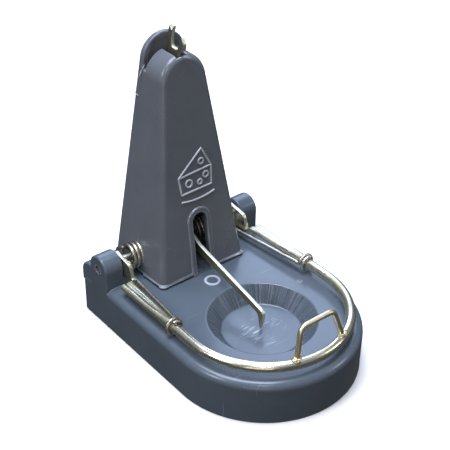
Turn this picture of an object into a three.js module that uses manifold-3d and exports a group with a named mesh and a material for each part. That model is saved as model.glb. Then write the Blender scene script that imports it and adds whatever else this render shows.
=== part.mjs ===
// Snap mouse trap: a moulded base with a bait dish, a hollow tower, a sprung wire striker
// and a stamped trigger. Millimetres, +Z up, front towards -Y, origin at the middle of the
// base's underside. The striker is modelled closed, lying on the base.
import * as THREE from 'three';
import { mergeVertices } from 'three/addons/utils/BufferGeometryUtils.js';
import Module from 'manifold-3d';

const wasm = await Module();
wasm.setup();

// ---------------------------------------------------------------- driving dimensions
const gap = 0.3; // between pieces that touch or run in each other

const base = {
  width: 80, length: 110.5, height: 19.1,
  wall: 2.4, plate: 2.2, edgeRadius: 3.2, rearCornerRadius: 3,
};
const dish = { rimRadius: 22.3, floorRadius: 16.3, depth: 6.6, wall: 2 };
const ear = { thickness: 8.7, radius: 6 };
const buttress = { step: 0.8, height: 6.4, length: 7.4 };
const axle = { radius: 1.6, rise: 7.8, setback: 13.2, recess: 0.5 };
const bar = { radius: 2.1, inset: 5.65 };
const arm = {
  startBehindBend: 15.3, endToAxle: 11, flatWidth: 6.2, inward: 0.6, eyeRadius: 4.6, tabThickness: 1.7,
};
const loop = {
  wireRadius: 1.15, rise: 15.4, lean: 3.3, left: -9.1, right: 7.1, footLeft: -11.4, footRight: 12.2,
};
const spring = {
  wireRadius: 0.8, coilRadius: 5, pitch: 1.95, innerX: 7.7,
  wrapTurns: 1.3, wrapAheadOfArm: 1.5, anchorLength: 7.5,
};
const tower = {
  footFront: 19.4, footRear: 0.4, footHalfWidthFront: 21.4, footHalfWidthRear: 23,
  headFront: 6.7, headRear: 9.4, headHalfWidth: 10.7, headBelowCatch: 11,
  cornerRadius: 3.4, wall: 2, roofBelowCatch: 2.7, roofRadius: 10.6, roofThickness: 1.8,
};
const rearPlate = { thickness: 2.6, rise: 5.6, archRadius: 10.2, gapToRoof: 1.6, gapDepth: 7.6 };
const mouth = { halfWidth: 3.6, height: 28, rimWidth: 2.2, rimProud: 0.7 };
const springWindow = { clearance: 1, headroom: 2.7, chamfer: 2 };
const roofSlot = { halfWidth: 2.4, frontWall: 0.8 };
const trigger = {
  thickness: 1.6, pivotBelowCatch: 24, pivotRadius: 1.5, pivotHalfLength: 5.2,
  ribThickness: 2, ribHeight: 11, ribGap: 1.6, tipBehindDishCentre: 0.8, tilt: 2.5,
};
const screw = {
  headRadius: 2.7, headHeight: 1.6, shankRadius: 1.3, grip: 7.5,
  postRadius: 2.9, postHeight: 9.5, fromSide: 6, fromFront: 5.6, fromRear: 5,
};

// ---------------------------------------------------------------- derived places
const halfWidth = base.width / 2;
const rearY = base.length / 2;
const arcY = -rearY + halfWidth; // centre of the round front, and of the dish
const axleY = rearY - axle.setback;
const axleZ = base.height + axle.rise;
const barX = halfWidth - bar.inset;
const barZ = base.height + gap + spring.wireRadius * 2 + gap + bar.radius; // its hooks rest on the base
const barFrontY = arcY - barX;
const crossbarY = barFrontY + loop.lean;
const crossbarZ = barZ + loop.rise;
const catchReach = Math.hypot(crossbarY - axleY, crossbarZ - axleZ);
const catchY = axleY - 0.7; // where the loop's crossbar stands when the trap is set
const catchZ = axleZ + Math.sqrt(catchReach ** 2 - (catchY - axleY) ** 2);
const pivotY = axleY;
const pivotZ = catchZ - trigger.pivotBelowCatch;
const floorZ = base.height - dish.depth;
const footZ = base.height + gap;
const headZ = catchZ - tower.headBelowCatch;
const roofZ = catchZ - tower.roofBelowCatch;
const armEndY = axleY - arm.endToAxle;
const armStartY = arcY + arm.startBehindBend;
const tabInner = halfWidth - ear.thickness - gap - arm.tabThickness;
const legX = tabInner - gap * 2 - spring.wireRadius * 2; // the last half turn, which rides with the striker
const coilStartX = legX - spring.wireRadius * 2 - gap;

// ---------------------------------------------------------------- helpers
const axes = {
  x: new THREE.Vector3(1, 0, 0), y: new THREE.Vector3(0, 1, 0), z: new THREE.Vector3(0, 0, 1),
};

/** A closed three.js geometry as a manifold solid. */
function solid(geometry) {
  const bare = geometry.index ? geometry : geometry.clone();
  bare.deleteAttribute('normal');
  bare.deleteAttribute('uv');
  const merged = mergeVertices(bare, 1e-4);
  return new wasm.Manifold(new wasm.Mesh({
    numProp: 3,
    vertProperties: new Float32Array(merged.attributes.position.array),
    triVerts: new Uint32Array(merged.index.array),
  }));
}

/** A named mesh of a manifold solid. */
function piece(name, manifold, material) {
  const mesh = manifold.getMesh();
  const geometry = new THREE.BufferGeometry();
  geometry.setAttribute('position', new THREE.BufferAttribute(new Float32Array(mesh.vertProperties), 3));
  geometry.setIndex(new THREE.BufferAttribute(new Uint32Array(mesh.triVerts), 1));
  geometry.computeVertexNormals();
  const result = new THREE.Mesh(geometry, material);
  result.name = name;
  return result;
}

function polygon(points) {
  return new THREE.Shape(points.map(([a, b]) => new THREE.Vector2(a, b)));
}

/** Extrudes a shape drawn in the Y-Z plane from x0 to x1. */
function prismX(shape, x0, x1, curveSegments = 8) {
  const geometry = new THREE.ExtrudeGeometry(shape, { depth: x1 - x0, bevelEnabled: false, curveSegments });
  geometry.applyMatrix4(new THREE.Matrix4().makeBasis(axes.y, axes.z, axes.x));
  return solid(geometry.translate(x0, 0, 0));
}

/** Extrudes a shape drawn in the X-Z plane from y0 to y1. */
function prismY(shape, y0, y1, curveSegments = 8) {
  const geometry = new THREE.ExtrudeGeometry(shape, { depth: y1 - y0, bevelEnabled: false, curveSegments });
  geometry.applyMatrix4(new THREE.Matrix4().makeBasis(axes.x, axes.z, axes.y.clone().negate()));
  return solid(geometry.translate(0, y1, 0));
}

/** Extrudes a shape drawn in the X-Y plane from z0 to z1. */
function prismZ(shape, z0, z1, curveSegments = 8) {
  const geometry = new THREE.ExtrudeGeometry(shape, { depth: z1 - z0, bevelEnabled: false, curveSegments });
  return solid(geometry.translate(0, 0, z0));
}

function box(x0, x1, y0, y1, z0, z1) {
  const geometry = new THREE.BoxGeometry(x1 - x0, y1 - y0, z1 - z0);
  return solid(geometry.translate((x0 + x1) / 2, (y0 + y1) / 2, (z0 + z1) / 2));
}

/** A cylinder along X through (y, z). */
function rodX(x0, x1, y, z, radius, sides = 20) {
  const geometry = new THREE.CylinderGeometry(radius, radius, x1 - x0, sides).rotateZ(-Math.PI / 2);
  return solid(geometry.translate((x0 + x1) / 2, y, z));
}

/** A cone or cylinder along Z through (x, y). */
function coneZ(x, y, z0, z1, radius0, radius1, sides = 20) {
  const geometry = new THREE.CylinderGeometry(radius1, radius0, z1 - z0, sides).rotateX(Math.PI / 2);
  return solid(geometry.translate(x, y, (z0 + z1) / 2));
}

/** A round wire along a curve. */
function wire(curve, radius, steps, sides = 8) {
  const section = new THREE.Shape().absarc(0, 0, radius, 0, Math.PI * 2);
  return new THREE.ExtrudeGeometry(section, {
    extrudePath: curve, steps, bevelEnabled: false, curveSegments: sides / 2,
  });
}

/** A path through points, with each corner rounded to the given radius. */
function roundedPath(points, radius) {
  const path = new THREE.CurvePath();
  let start = points[0];
  for (let i = 1; i < points.length - 1; i += 1) {
    const before = points[i].clone().sub(points[i - 1]).normalize();
    const after = points[i + 1].clone().sub(points[i]).normalize();
    const entry = points[i].clone().addScaledVector(before, -radius);
    const exit = points[i].clone().addScaledVector(after, radius);
    path.add(new THREE.LineCurve3(start, entry));
    path.add(new THREE.QuadraticBezierCurve3(entry, points[i], exit));
    start = exit;
  }
  path.add(new THREE.LineCurve3(start, points.at(-1)));
  return path;
}

/** A curve given by a formula of t from 0 to 1. */
class FormulaCurve extends THREE.Curve {
  constructor(formula) {
    super();
    this.formula = formula;
  }

  getPoint(t, target = new THREE.Vector3()) {
    return target.set(...this.formula(t));
  }
}

function finish(color, roughness, metalness) {
  return new THREE.MeshStandardMaterial({ color, roughness, metalness });
}

const plastic = finish(0x5c6470, 0.45, 0);
const towerPlastic = finish(0x50555e, 0.45, 0);
const passivatedSteel = finish(0xd6d0a4, 0.3, 1);
const brassyWire = finish(0xc9ba80, 0.35, 1);
const springSteel = finish(0xcfcfca, 0.3, 1);
const stampedSteel = finish(0x8d8b78, 0.4, 1);
const zincSteel = finish(0xb8babc, 0.35, 1);

// ---------------------------------------------------------------- base moulding
/** The plan of the base: straight sides, a round front and small rear corners. */
function plan(inset) {
  const half = halfWidth - inset;
  const rear = rearY - inset;
  const corner = Math.max(base.rearCornerRadius - inset, 0.6);
  const shape = new THREE.Shape();
  shape.moveTo(-half, arcY);
  shape.absarc(0, arcY, half, Math.PI, Math.PI * 2);
  shape.lineTo(half, rear - corner);
  shape.quadraticCurveTo(half, rear, half - corner, rear);
  shape.lineTo(-half + corner, rear);
  shape.quadraticCurveTo(-half, rear, -half, rear - corner);
  return shape;
}

function earOutline() {
  const shape = new THREE.Shape();
  const low = base.height - base.edgeRadius - 1;
  shape.moveTo(axleY - ear.radius, low);
  shape.lineTo(axleY + ear.radius, low);
  shape.lineTo(axleY + ear.radius, axleZ);
  shape.absarc(axleY, axleZ, ear.radius, 0, Math.PI);
  return shape;
}

function buttressOutline() {
  const shape = new THREE.Shape();
  const low = base.height - base.edgeRadius - 1;
  const start = axleY + ear.radius - 1;
  const end = start + 1 + Math.min(buttress.length, axle.setback - ear.radius - 0.1);
  const top = base.height + buttress.height;
  shape.moveTo(start, low);
  shape.lineTo(end, low);
  shape.lineTo(end, base.height);
  shape.quadraticCurveTo(end, top, start + 1, top);
  shape.lineTo(start, top);
  return shape;
}

const screwPlaces = [-1, 1].flatMap((side) => [
  { name: side < 0 ? 'front_left' : 'front_right', x: side * (tower.footHalfWidthFront - screw.fromSide),
    y: axleY - tower.footFront + screw.fromFront },
  { name: side < 0 ? 'rear_left' : 'rear_right', x: side * (tower.footHalfWidthRear - screw.fromSide),
    y: rearY - tower.footRear - screw.fromRear },
]);

function buildBase() {
  const round = base.edgeRadius;
  const lower = prismZ(plan(0), 0, base.height - round, 20);
  const slab = new THREE.ExtrudeGeometry(plan(round), {
    depth: 0.2, bevelThickness: round, bevelSize: round, bevelSegments: 3, curveSegments: 20,
  });
  let body = solid(slab.translate(0, 0, base.height - round - 0.2)).add(lower);
  body = body.subtract(prismZ(plan(base.wall), -1, base.height - base.plate, 20));

  const slope = (dish.rimRadius - dish.floorRadius) / dish.depth;
  const under = floorZ - dish.wall;
  const over = base.height + 1;
  body = body.add(coneZ(0, arcY, under, base.height - 0.5, dish.floorRadius + dish.wall,
    dish.rimRadius + dish.wall, 48));
  body = body.subtract(coneZ(0, arcY, floorZ, over, dish.floorRadius, dish.rimRadius + slope, 48));

  for (const side of [-1, 1]) {
    const outer = side * halfWidth;
    const inner = side * (halfWidth - ear.thickness);
    const [x0, x1] = [Math.min(outer, inner), Math.max(outer, inner)];
    const bore = rodX(x0 - 1, x1 + 1, axleY, axleZ, axle.radius + gap);
    const step = side < 0 ? [x0 + buttress.step, x1] : [x0, x1 - buttress.step];
    body = body.add(prismX(buttressOutline(), ...step, 5));
    body = body.add(prismX(earOutline(), x0, x1, 12)).subtract(bore);
  }
  for (const place of screwPlaces) {
    body = body.subtract(coneZ(place.x, place.y, 0, base.height + 1,
      screw.shankRadius + gap, screw.shankRadius + gap, 16));
  }
  return piece('base', body, plastic);
}

// ---------------------------------------------------------------- tower moulding
/** The tower's tapering block, from z0 up to z1, moved in by inset on every side. */
function towerBlock(z0, z1, inset, frontInset = inset, rearInset = inset) {
  const corner = Math.max(tower.cornerRadius - inset, 0.5);
  const shape = new THREE.Shape();
  const cx = corner / tower.footHalfWidthFront;
  const cy = corner / (tower.footFront + axle.setback) * 2;
  shape.moveTo(-1 + cx, -1);
  shape.lineTo(1 - cx, -1);
  shape.quadraticCurveTo(1, -1, 1, -1 + cy);
  shape.lineTo(1, 1 - cy);
  shape.quadraticCurveTo(1, 1, 1 - cx, 1);
  shape.lineTo(-1 + cx, 1);
  shape.quadraticCurveTo(-1, 1, -1, 1 - cy);
  shape.lineTo(-1, -1 + cy);
  shape.quadraticCurveTo(-1, -1, -1 + cx, -1);
  const settings = { depth: z1 - z0, bevelEnabled: false, curveSegments: 4 };
  const geometry = new THREE.ExtrudeGeometry(shape, settings);
  const position = geometry.attributes.position;
  for (let i = 0; i < position.count; i += 1) {
    const z = z0 + position.getZ(i);
    const up = (z - base.height) / (headZ - base.height);
    const front = THREE.MathUtils.lerp(axleY - tower.footFront, axleY - tower.headFront, up) + frontInset;
    const rear = THREE.MathUtils.lerp(rearY - tower.footRear, axleY + tower.headRear, up) - rearInset;
    const along = (position.getY(i) + 1) / 2;
    const footHalf = THREE.MathUtils.lerp(tower.footHalfWidthFront, tower.footHalfWidthRear, along);
    const half = THREE.MathUtils.lerp(footHalf, tower.headHalfWidth, up) - inset;
    position.setXYZ(i, position.getX(i) * half, THREE.MathUtils.lerp(front, rear, along), z);
  }
  return solid(geometry);
}

/** A wide outline with a half-round top, drawn in the X-Z plane. */
function archOutline(low, top, radius, halfAtFoot) {
  const shape = new THREE.Shape();
  const shoulder = top - radius;
  shape.moveTo(-halfAtFoot, low);
  shape.lineTo(halfAtFoot, low);
  shape.lineTo(radius, shoulder);
  shape.absarc(0, shoulder, radius, 0, Math.PI);
  return shape;
}

function mouthOutline(grow) {
  const shape = new THREE.Shape();
  const half = mouth.halfWidth + grow;
  const shoulder = base.height + mouth.height - mouth.halfWidth;
  shape.moveTo(-half, base.height - 1);
  shape.lineTo(half, base.height - 1);
  shape.lineTo(half, shoulder);
  shape.absarc(0, shoulder, half, 0, Math.PI);
  return shape;
}

function buildTower() {
  const wide = tower.footHalfWidthRear + 6;
  const plateTop = roofZ + rearPlate.rise;
  const headRearY = axleY + tower.headRear;
  const plateFrontY = headRearY - rearPlate.thickness - 0.4;
  const roofRearY = plateFrontY - rearPlate.gapToRoof;

  const outer = towerBlock(footZ, plateTop + 1, 0);
  const roofArch = prismY(archOutline(0, roofZ, tower.roofRadius, wide * 2), -rearY, rearY, 14);
  let body = outer.intersect(roofArch);

  const plateLow = plateTop - rearPlate.archRadius - 14;
  const plateShape = archOutline(plateLow, plateTop, rearPlate.archRadius, rearPlate.archRadius + 1.6);
  const plateSlab = towerBlock(plateLow, plateTop + 1, -2, 0, 0);
  body = body.add(prismY(plateShape, plateFrontY, rearY, 14).intersect(plateSlab));

  const cavity = towerBlock(footZ - 1, roofZ, tower.wall, tower.wall, rearPlate.thickness)
    .intersect(prismY(archOutline(0, roofZ - tower.roofThickness,
      tower.roofRadius - tower.roofThickness, wide * 2), -rearY, rearY, 12));
  body = body.subtract(cavity);

  for (const side of [-1, 1]) {
    const x0 = side * (trigger.thickness / 2 + trigger.ribGap);
    const x1 = x0 + side * trigger.ribThickness;
    const rib = box(Math.min(x0, x1), Math.max(x0, x1), axleY - tower.footFront, rearY,
      pivotZ - trigger.ribHeight / 2, pivotZ + trigger.ribHeight / 2);
    body = body.add(rib.intersect(outer));
  }
  body = body.subtract(rodX(-trigger.pivotHalfLength - gap, trigger.pivotHalfLength + gap,
    pivotY, pivotZ, trigger.pivotRadius + gap, 16));

  for (const place of screwPlaces) {
    const postTop = footZ + screw.postHeight;
    const post = coneZ(place.x, place.y, footZ, postTop, screw.postRadius, screw.postRadius, 16);
    body = body.add(post.intersect(outer));
    body = body.subtract(coneZ(place.x, place.y, footZ - 1, footZ + screw.postHeight - 1.5,
      screw.shankRadius + gap, screw.shankRadius + gap, 16));
  }

  const rimBlock = towerBlock(footZ, headZ, 0, -mouth.rimProud, 0);
  const frontSpan = [axleY - tower.footFront - 5, axleY - tower.headFront - 1];
  const rim = prismY(mouthOutline(mouth.rimWidth), frontSpan[0], axleY - tower.footFront + 6, 10);
  body = body.add(rim.intersect(rimBlock).subtract(cavity));
  body = body.subtract(prismY(mouthOutline(0), ...frontSpan, 10));

  const coilOuter = spring.coilRadius + spring.wireRadius;
  const windowHalf = coilOuter + springWindow.clearance;
  const windowTop = axleZ + coilOuter + springWindow.headroom;
  const { chamfer } = springWindow;
  body = body.subtract(prismX(polygon([
    [axleY - windowHalf, footZ - 1], [axleY + windowHalf, footZ - 1],
    [axleY + windowHalf, windowTop - chamfer * 2], [axleY + windowHalf - chamfer, windowTop],
    [axleY - windowHalf + chamfer, windowTop], [axleY - windowHalf, windowTop - chamfer],
  ]), -halfWidth, halfWidth));

  body = body.subtract(box(-roofSlot.halfWidth, roofSlot.halfWidth,
    axleY - tower.headFront + 1 + roofSlot.frontWall, plateFrontY, roofZ - tower.roofRadius, roofZ + 5));
  body = body.subtract(box(-wide, wide, roofRearY, plateFrontY, roofZ - rearPlate.gapDepth, plateTop + 5));
  return piece('tower', body, towerPlastic);
}

// ---------------------------------------------------------------- pins and screws
function buildAxle() {
  const half = halfWidth - axle.recess;
  return piece('axle', rodX(-half, half, axleY, axleZ, axle.radius, 20), zincSteel);
}

function buildPivotPin() {
  const half = trigger.pivotHalfLength;
  return piece('trigger_pivot_pin', rodX(-half, half, pivotY, pivotZ, trigger.pivotRadius, 16), zincSteel);
}

function buildScrew(place) {
  const underPlate = base.height - base.plate - gap;
  const head = coneZ(place.x, place.y, underPlate - screw.headHeight, underPlate,
    screw.headRadius * 0.8, screw.headRadius, 20);
  const shank = coneZ(place.x, place.y, underPlate - 0.5, underPlate + base.plate + screw.grip,
    screw.shankRadius, screw.shankRadius, 12);
  let body = head.add(shank);
  for (const turn of [0, Math.PI / 2]) {
    const slot = new THREE.BoxGeometry(screw.headRadius * 1.1, 0.7, 1.6).rotateZ(turn);
    body = body.subtract(solid(slot.translate(place.x, place.y, underPlate - screw.headHeight)));
  }
  return piece(`tower_screw_${place.name}`, body, zincSteel);
}

// ---------------------------------------------------------------- striker
/** The round wire's path: up the left side, round the front and back along the right side. */
function strikerPath() {
  const path = new THREE.CurvePath();
  const left = new THREE.Vector3(-barX, armEndY, barZ);
  const leftBend = new THREE.Vector3(-barX, arcY, barZ);
  const rightBend = new THREE.Vector3(barX, arcY, barZ);
  path.add(new THREE.LineCurve3(left, leftBend));
  path.add(new FormulaCurve((t) => [
    -barX * Math.cos(Math.PI * t), arcY - barX * Math.sin(Math.PI * t), barZ,
  ]));
  path.add(new THREE.LineCurve3(rightBend, new THREE.Vector3(barX, armEndY, barZ)));
  return path;
}

/** Presses the ends of the wire flat, keeping the area of its section. */
function flattenEnds(geometry) {
  const position = geometry.attributes.position;
  const widest = arm.flatWidth / 2 / bar.radius;
  for (let i = 0; i < position.count; i += 1) {
    const y = position.getY(i);
    const t = THREE.MathUtils.clamp((y - armStartY) / (armEndY - armStartY), 0, 1);
    if (t > 0) {
      const spread = THREE.MathUtils.lerp(1, widest, t);
      const side = Math.sign(position.getX(i));
      position.setX(i, side * (barX - arm.inward * t) + (position.getX(i) - side * barX) * spread);
      position.setZ(i, barZ + (position.getZ(i) - barZ) / spread);
    }
  }
  return geometry;
}

function eyeOutline() {
  const shape = new THREE.Shape();
  const thin = bar.radius ** 2 / (arm.flatWidth / 2);
  shape.moveTo(armEndY - 0.5, barZ - thin * 0.6);
  shape.lineTo(axleY, axleZ - arm.eyeRadius);
  shape.absarc(axleY, axleZ, arm.eyeRadius, -Math.PI / 2, Math.PI / 2);
  shape.lineTo(armEndY + 2.5, axleZ + arm.eyeRadius * 0.72);
  shape.quadraticCurveTo(armEndY + 0.4, axleZ + 2, armEndY, barZ + thin * 0.8);
  shape.lineTo(armEndY - 0.5, barZ + thin * 0.6);
  return shape;
}

function buildStriker() {
  let body = solid(flattenEnds(wire(strikerPath(), bar.radius, 96, 10)));
  for (const side of [-1, 1]) {
    const x0 = side < 0 ? -tabInner - arm.tabThickness : tabInner;
    body = body.add(prismX(eyeOutline(), x0, x0 + arm.tabThickness, 10));
    body = body.subtract(rodX(x0 - 1, x0 + arm.tabThickness + 1, axleY, axleZ, axle.radius + gap));
  }
  return piece('striker_bar', body, passivatedSteel);
}

/** Where a foot of the catch loop stands on the bar. */
function loopFoot(x) {
  const y = arcY - Math.sqrt(barX ** 2 - x ** 2);
  return new THREE.Vector3(x, y, barZ + bar.radius + gap + loop.wireRadius * 0.35);
}

function buildCatchLoop() {
  const path = roundedPath([
    loopFoot(loop.footLeft),
    new THREE.Vector3(loop.left, crossbarY, crossbarZ),
    new THREE.Vector3(loop.right, crossbarY, crossbarZ),
    loopFoot(loop.footRight),
  ], 2.6);
  return piece('catch_loop', solid(wire(path, loop.wireRadius, 40, 8)), brassyWire);
}

// ---------------------------------------------------------------- springs
/** The wound part of a spring on the axle, with the leg that presses on the base. */
function buildCoil(side, name) {
  const turns = Math.round((coilStartX - spring.innerX) / spring.pitch);
  const wound = turns * Math.PI * 2;
  const length = wound * spring.coilRadius;
  const total = length + spring.anchorLength;
  const curve = new FormulaCurve((t) => {
    const along = Math.min(t * total, length) / length;
    const angle = -Math.PI / 2 - wound * along;
    const x = THREE.MathUtils.lerp(coilStartX, spring.innerX, along);
    const straight = Math.max(t * total - length, 0);
    return [
      side * x,
      axleY + spring.coilRadius * Math.cos(angle) + straight * 0.98,
      axleZ + spring.coilRadius * Math.sin(angle) - straight * 0.12,
    ];
  });
  const steps = turns * 12 + 6;
  return piece(name, solid(wire(curve, spring.wireRadius, steps, 6)), springSteel);
}

/** The last half turn, the straight leg and the hook wrapped round the striker bar. */
function buildSpringLeg(side, name) {
  const wrapRadius = bar.radius + spring.wireRadius + gap;
  const wrapY = armStartY - spring.wrapAheadOfArm;
  const wrapLength = spring.wrapTurns * (spring.wireRadius * 2 + gap);
  const path = new THREE.CurvePath();
  path.add(new FormulaCurve((t) => {
    const angle = Math.PI * (-1.5 + t);
    const y = axleY - spring.coilRadius * Math.cos(angle);
    return [side * legX, y, axleZ + spring.coilRadius * Math.sin(angle)];
  }));
  const legStart = new THREE.Vector3(side * legX, axleY, axleZ - spring.coilRadius);
  const pastEye = new THREE.Vector3(side * (tabInner - gap - spring.wireRadius), armEndY - 1,
    THREE.MathUtils.lerp(legStart.z, barZ, (arm.endToAxle + 1) / (axleY - wrapY)));
  const legEnd = new THREE.Vector3(side * (barX - wrapRadius), wrapY, barZ);
  path.add(new THREE.LineCurve3(legStart, pastEye));
  path.add(new THREE.LineCurve3(pastEye, legEnd));
  path.add(new FormulaCurve((t) => {
    const angle = Math.PI * 2 * spring.wrapTurns * t;
    return [side * (barX - wrapRadius * Math.cos(angle)), wrapY - wrapLength * t,
      barZ + wrapRadius * Math.sin(angle)];
  }));
  return piece(name, solid(wire(path, spring.wireRadius, 90, 6)), springSteel);
}

// ---------------------------------------------------------------- trigger
function triggerOutline() {
  const tipY = arcY + trigger.tipBehindDishCentre;
  const topArm = base.height + 12.6; // where the arm's top edge enters the tower
  const slotY = axleY - 16.5;
  const wireRoom = loop.wireRadius + 0.25;
  const notchZ = catchZ - wireRoom;
  return polygon([
    [tipY, floorZ + gap], [tipY - 1.3, base.height - 2], [tipY - 1.7, base.height + 0.7],
    [tipY - 1.5, base.height + 2], [tipY - 0.7, base.height + 2.9], [tipY + 0.9, base.height + 3.5],
    [slotY, topArm], [axleY - 10.9, topArm + 3.2], [axleY - 9, topArm + 27],
    [axleY - 5.4, pivotZ - 2], [axleY - 3.6, headZ], [axleY - 3.3, roofZ + 0.6],
    [axleY - 5.4, roofZ + 1.2], [axleY - 6.9, catchZ + 0.2], [axleY - 7.1, catchZ + 2.2],
    [axleY - 5.7, catchZ + 4.4], [axleY - 5, catchZ + 2.4], [axleY - 3.3, catchZ],
    [catchY - 2.5, notchZ + 0.6], [catchY - 1.6, notchZ],
    [catchY + 0.4, notchZ], [catchY + 1.3, notchZ + 0.6], [axleY + 0.7, catchZ + 0.6],
    [axleY + 0.5, catchZ + 4], [axleY - 0.9, catchZ + 7.8],
    [axleY + 0.6, catchZ + 5.6], [axleY + 1.9, catchZ + 7.5], [axleY + 2.9, catchZ + 4],
    [axleY + 3.2, catchZ], [axleY + 3.5, headZ], [axleY + 3.4, pivotZ - 5],
    [axleY - 4.4, topArm + 24], [axleY - 7.2, topArm + 2], [axleY - 8.4, topArm - 1.6],
    [axleY - 11.5, topArm - 3.2], [axleY - 20, topArm - 4.7],
    [tipY + 3.4, base.height + 1.2], [tipY + 1.9, base.height + 0.5],
    [tipY + 1.2, base.height - 0.5], [tipY + 0.8, base.height - 2.5],
  ]);
}

function buildTrigger() {
  const half = trigger.thickness / 2;
  const plate = prismX(triggerOutline(), -half, half);
  const hole = rodX(-2, 2, pivotY, pivotZ, trigger.pivotRadius + gap, 16);
  return piece('trigger_plate', plate.subtract(hole), stampedSteel);
}

// ---------------------------------------------------------------- assembly
const trap = new THREE.Group();
const strikerGroup = new THREE.Group();
const triggerGroup = new THREE.Group();

trap.add(buildBase(), buildTower(), buildAxle(), buildPivotPin());
trap.add(...screwPlaces.map(buildScrew));
trap.add(buildCoil(-1, 'spring_coil_left'), buildCoil(1, 'spring_coil_right'));
strikerGroup.add(buildStriker(), buildCatchLoop());
strikerGroup.add(buildSpringLeg(-1, 'spring_leg_left'), buildSpringLeg(1, 'spring_leg_right'));
triggerGroup.add(buildTrigger());
trap.add(strikerGroup, triggerGroup);

export default trap;
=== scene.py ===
"""Snap mouse trap: builds its moulded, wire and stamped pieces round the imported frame."""

import math

import bmesh
import bpy
from bpy.props import FloatProperty, FloatVectorProperty, IntProperty, PointerProperty
from mathutils import Matrix, Vector


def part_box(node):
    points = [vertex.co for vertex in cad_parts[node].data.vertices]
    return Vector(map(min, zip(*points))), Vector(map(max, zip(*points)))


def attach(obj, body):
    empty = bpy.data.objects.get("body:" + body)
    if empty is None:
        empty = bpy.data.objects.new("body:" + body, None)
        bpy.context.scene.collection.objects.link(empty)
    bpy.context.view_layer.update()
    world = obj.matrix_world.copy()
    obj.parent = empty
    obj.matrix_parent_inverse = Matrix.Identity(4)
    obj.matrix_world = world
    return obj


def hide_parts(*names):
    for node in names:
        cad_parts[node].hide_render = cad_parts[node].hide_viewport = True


bl_info = {
    "name": "Snap mouse trap",
    "version": (1, 0, 0),
    "blender": (4, 5, 0),
    "location": "View3D > Sidebar > Trap",
    "description": "Builds a plastic snap mouse trap with a sprung wire striker",
    "category": "Object",
}

MM = 0.001

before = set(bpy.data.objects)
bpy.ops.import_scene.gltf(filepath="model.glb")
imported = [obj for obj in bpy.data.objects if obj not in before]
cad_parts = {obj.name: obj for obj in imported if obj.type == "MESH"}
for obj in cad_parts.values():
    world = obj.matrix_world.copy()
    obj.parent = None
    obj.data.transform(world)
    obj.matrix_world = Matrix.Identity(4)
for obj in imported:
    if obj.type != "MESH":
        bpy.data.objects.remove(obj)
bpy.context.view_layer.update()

# Places taken from the frame. Metres, +Z up, front towards -Y.
GAP = 0.3 * MM  # between pieces that touch or run in each other
BASE_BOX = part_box("base")
TOWER_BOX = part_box("tower")
AXLE_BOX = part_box("axle")
PIVOT_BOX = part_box("trigger_pivot_pin")
STRIKER_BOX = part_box("striker_bar")
HALF_WIDTH = BASE_BOX[1].x
REAR_Y = BASE_BOX[1].y
ARC_Y = BASE_BOX[0].y + HALF_WIDTH  # centre of the round front, and of the dish
TOP_Z = TOWER_BOX[0].z - GAP  # upper face of the base
AXLE_Y = (AXLE_BOX[0].y + AXLE_BOX[1].y) / 2
AXLE_Z = (AXLE_BOX[0].z + AXLE_BOX[1].z) / 2
AXLE_RADIUS = (AXLE_BOX[1].z - AXLE_BOX[0].z) / 2
PIVOT_Z = (PIVOT_BOX[0].z + PIVOT_BOX[1].z) / 2
PIVOT_RADIUS = (PIVOT_BOX[1].z - PIVOT_BOX[0].z) / 2
PLATE_TOP_Z = TOWER_BOX[1].z
MARK_PLACE = (-0.9 * MM, 15.9 * MM)  # ejector mark behind the dish
MARK_RADIUS = 2.9 * MM
DOT_PLACE = (27.6 * MM, -6.75 * MM)  # moulded dot on the right of the base
BUTTRESS_LENGTH = 8.4 * MM
SCREW_HOLE_RADIUS = 1.6 * MM
SCREWS = ("front_left", "front_right", "rear_left", "rear_right")


# ------------------------------------------------------------------ settings


def length(name, description, millimetres):
    """A length setting, given in millimetres and kept in metres."""
    return FloatProperty(
        name=name,
        description=description,
        default=millimetres * MM,
        min=0.0,
        precision=5,
        unit="LENGTH",
        subtype="DISTANCE",
    )


def linear(code):
    """A '#rrggbb' sRGB colour as linear red, green, blue and alpha."""
    parts = [int(code[i : i + 2], 16) / 255 for i in (1, 3, 5)]
    curve = [c / 12.92 if c <= 0.04045 else ((c + 0.055) / 1.055) ** 2.4 for c in parts]
    return (*curve, 1.0)


def tint(name, description, code):
    """A colour setting, given as sRGB hex."""
    return FloatVectorProperty(
        name=name,
        description=description,
        default=linear(code),
        size=4,
        min=0.0,
        max=1.0,
        subtype="COLOR",
    )


class TrapBaseSettings(bpy.types.PropertyGroup):
    """Sizes of the base moulding"""

    wall: length("Wall", "Thickness of the skirt round the base", 2.4)
    plate: length("Plate", "Thickness of the upper face", 2.2)
    edge_radius: length("Edge radius", "Rounding between upper face and skirt", 3.2)
    corner_radius: length("Rear corner radius", "Plan radius of the rear corners", 3.0)
    dish_rim: length("Dish rim radius", "Radius of the bait dish at its rim", 22.3)
    dish_floor: length("Dish floor radius", "Radius of the bait dish floor", 16.3)
    dish_depth: length("Dish depth", "Depth of the bait dish", 6.6)
    ear_thickness: length("Ear thickness", "Length of each axle ear along the axle", 8.7)
    ear_radius: length("Ear radius", "Radius of the top of each axle ear", 6.0)
    buttress_height: length("Buttress height", "Height of the block behind each ear", 6.4)


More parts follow.
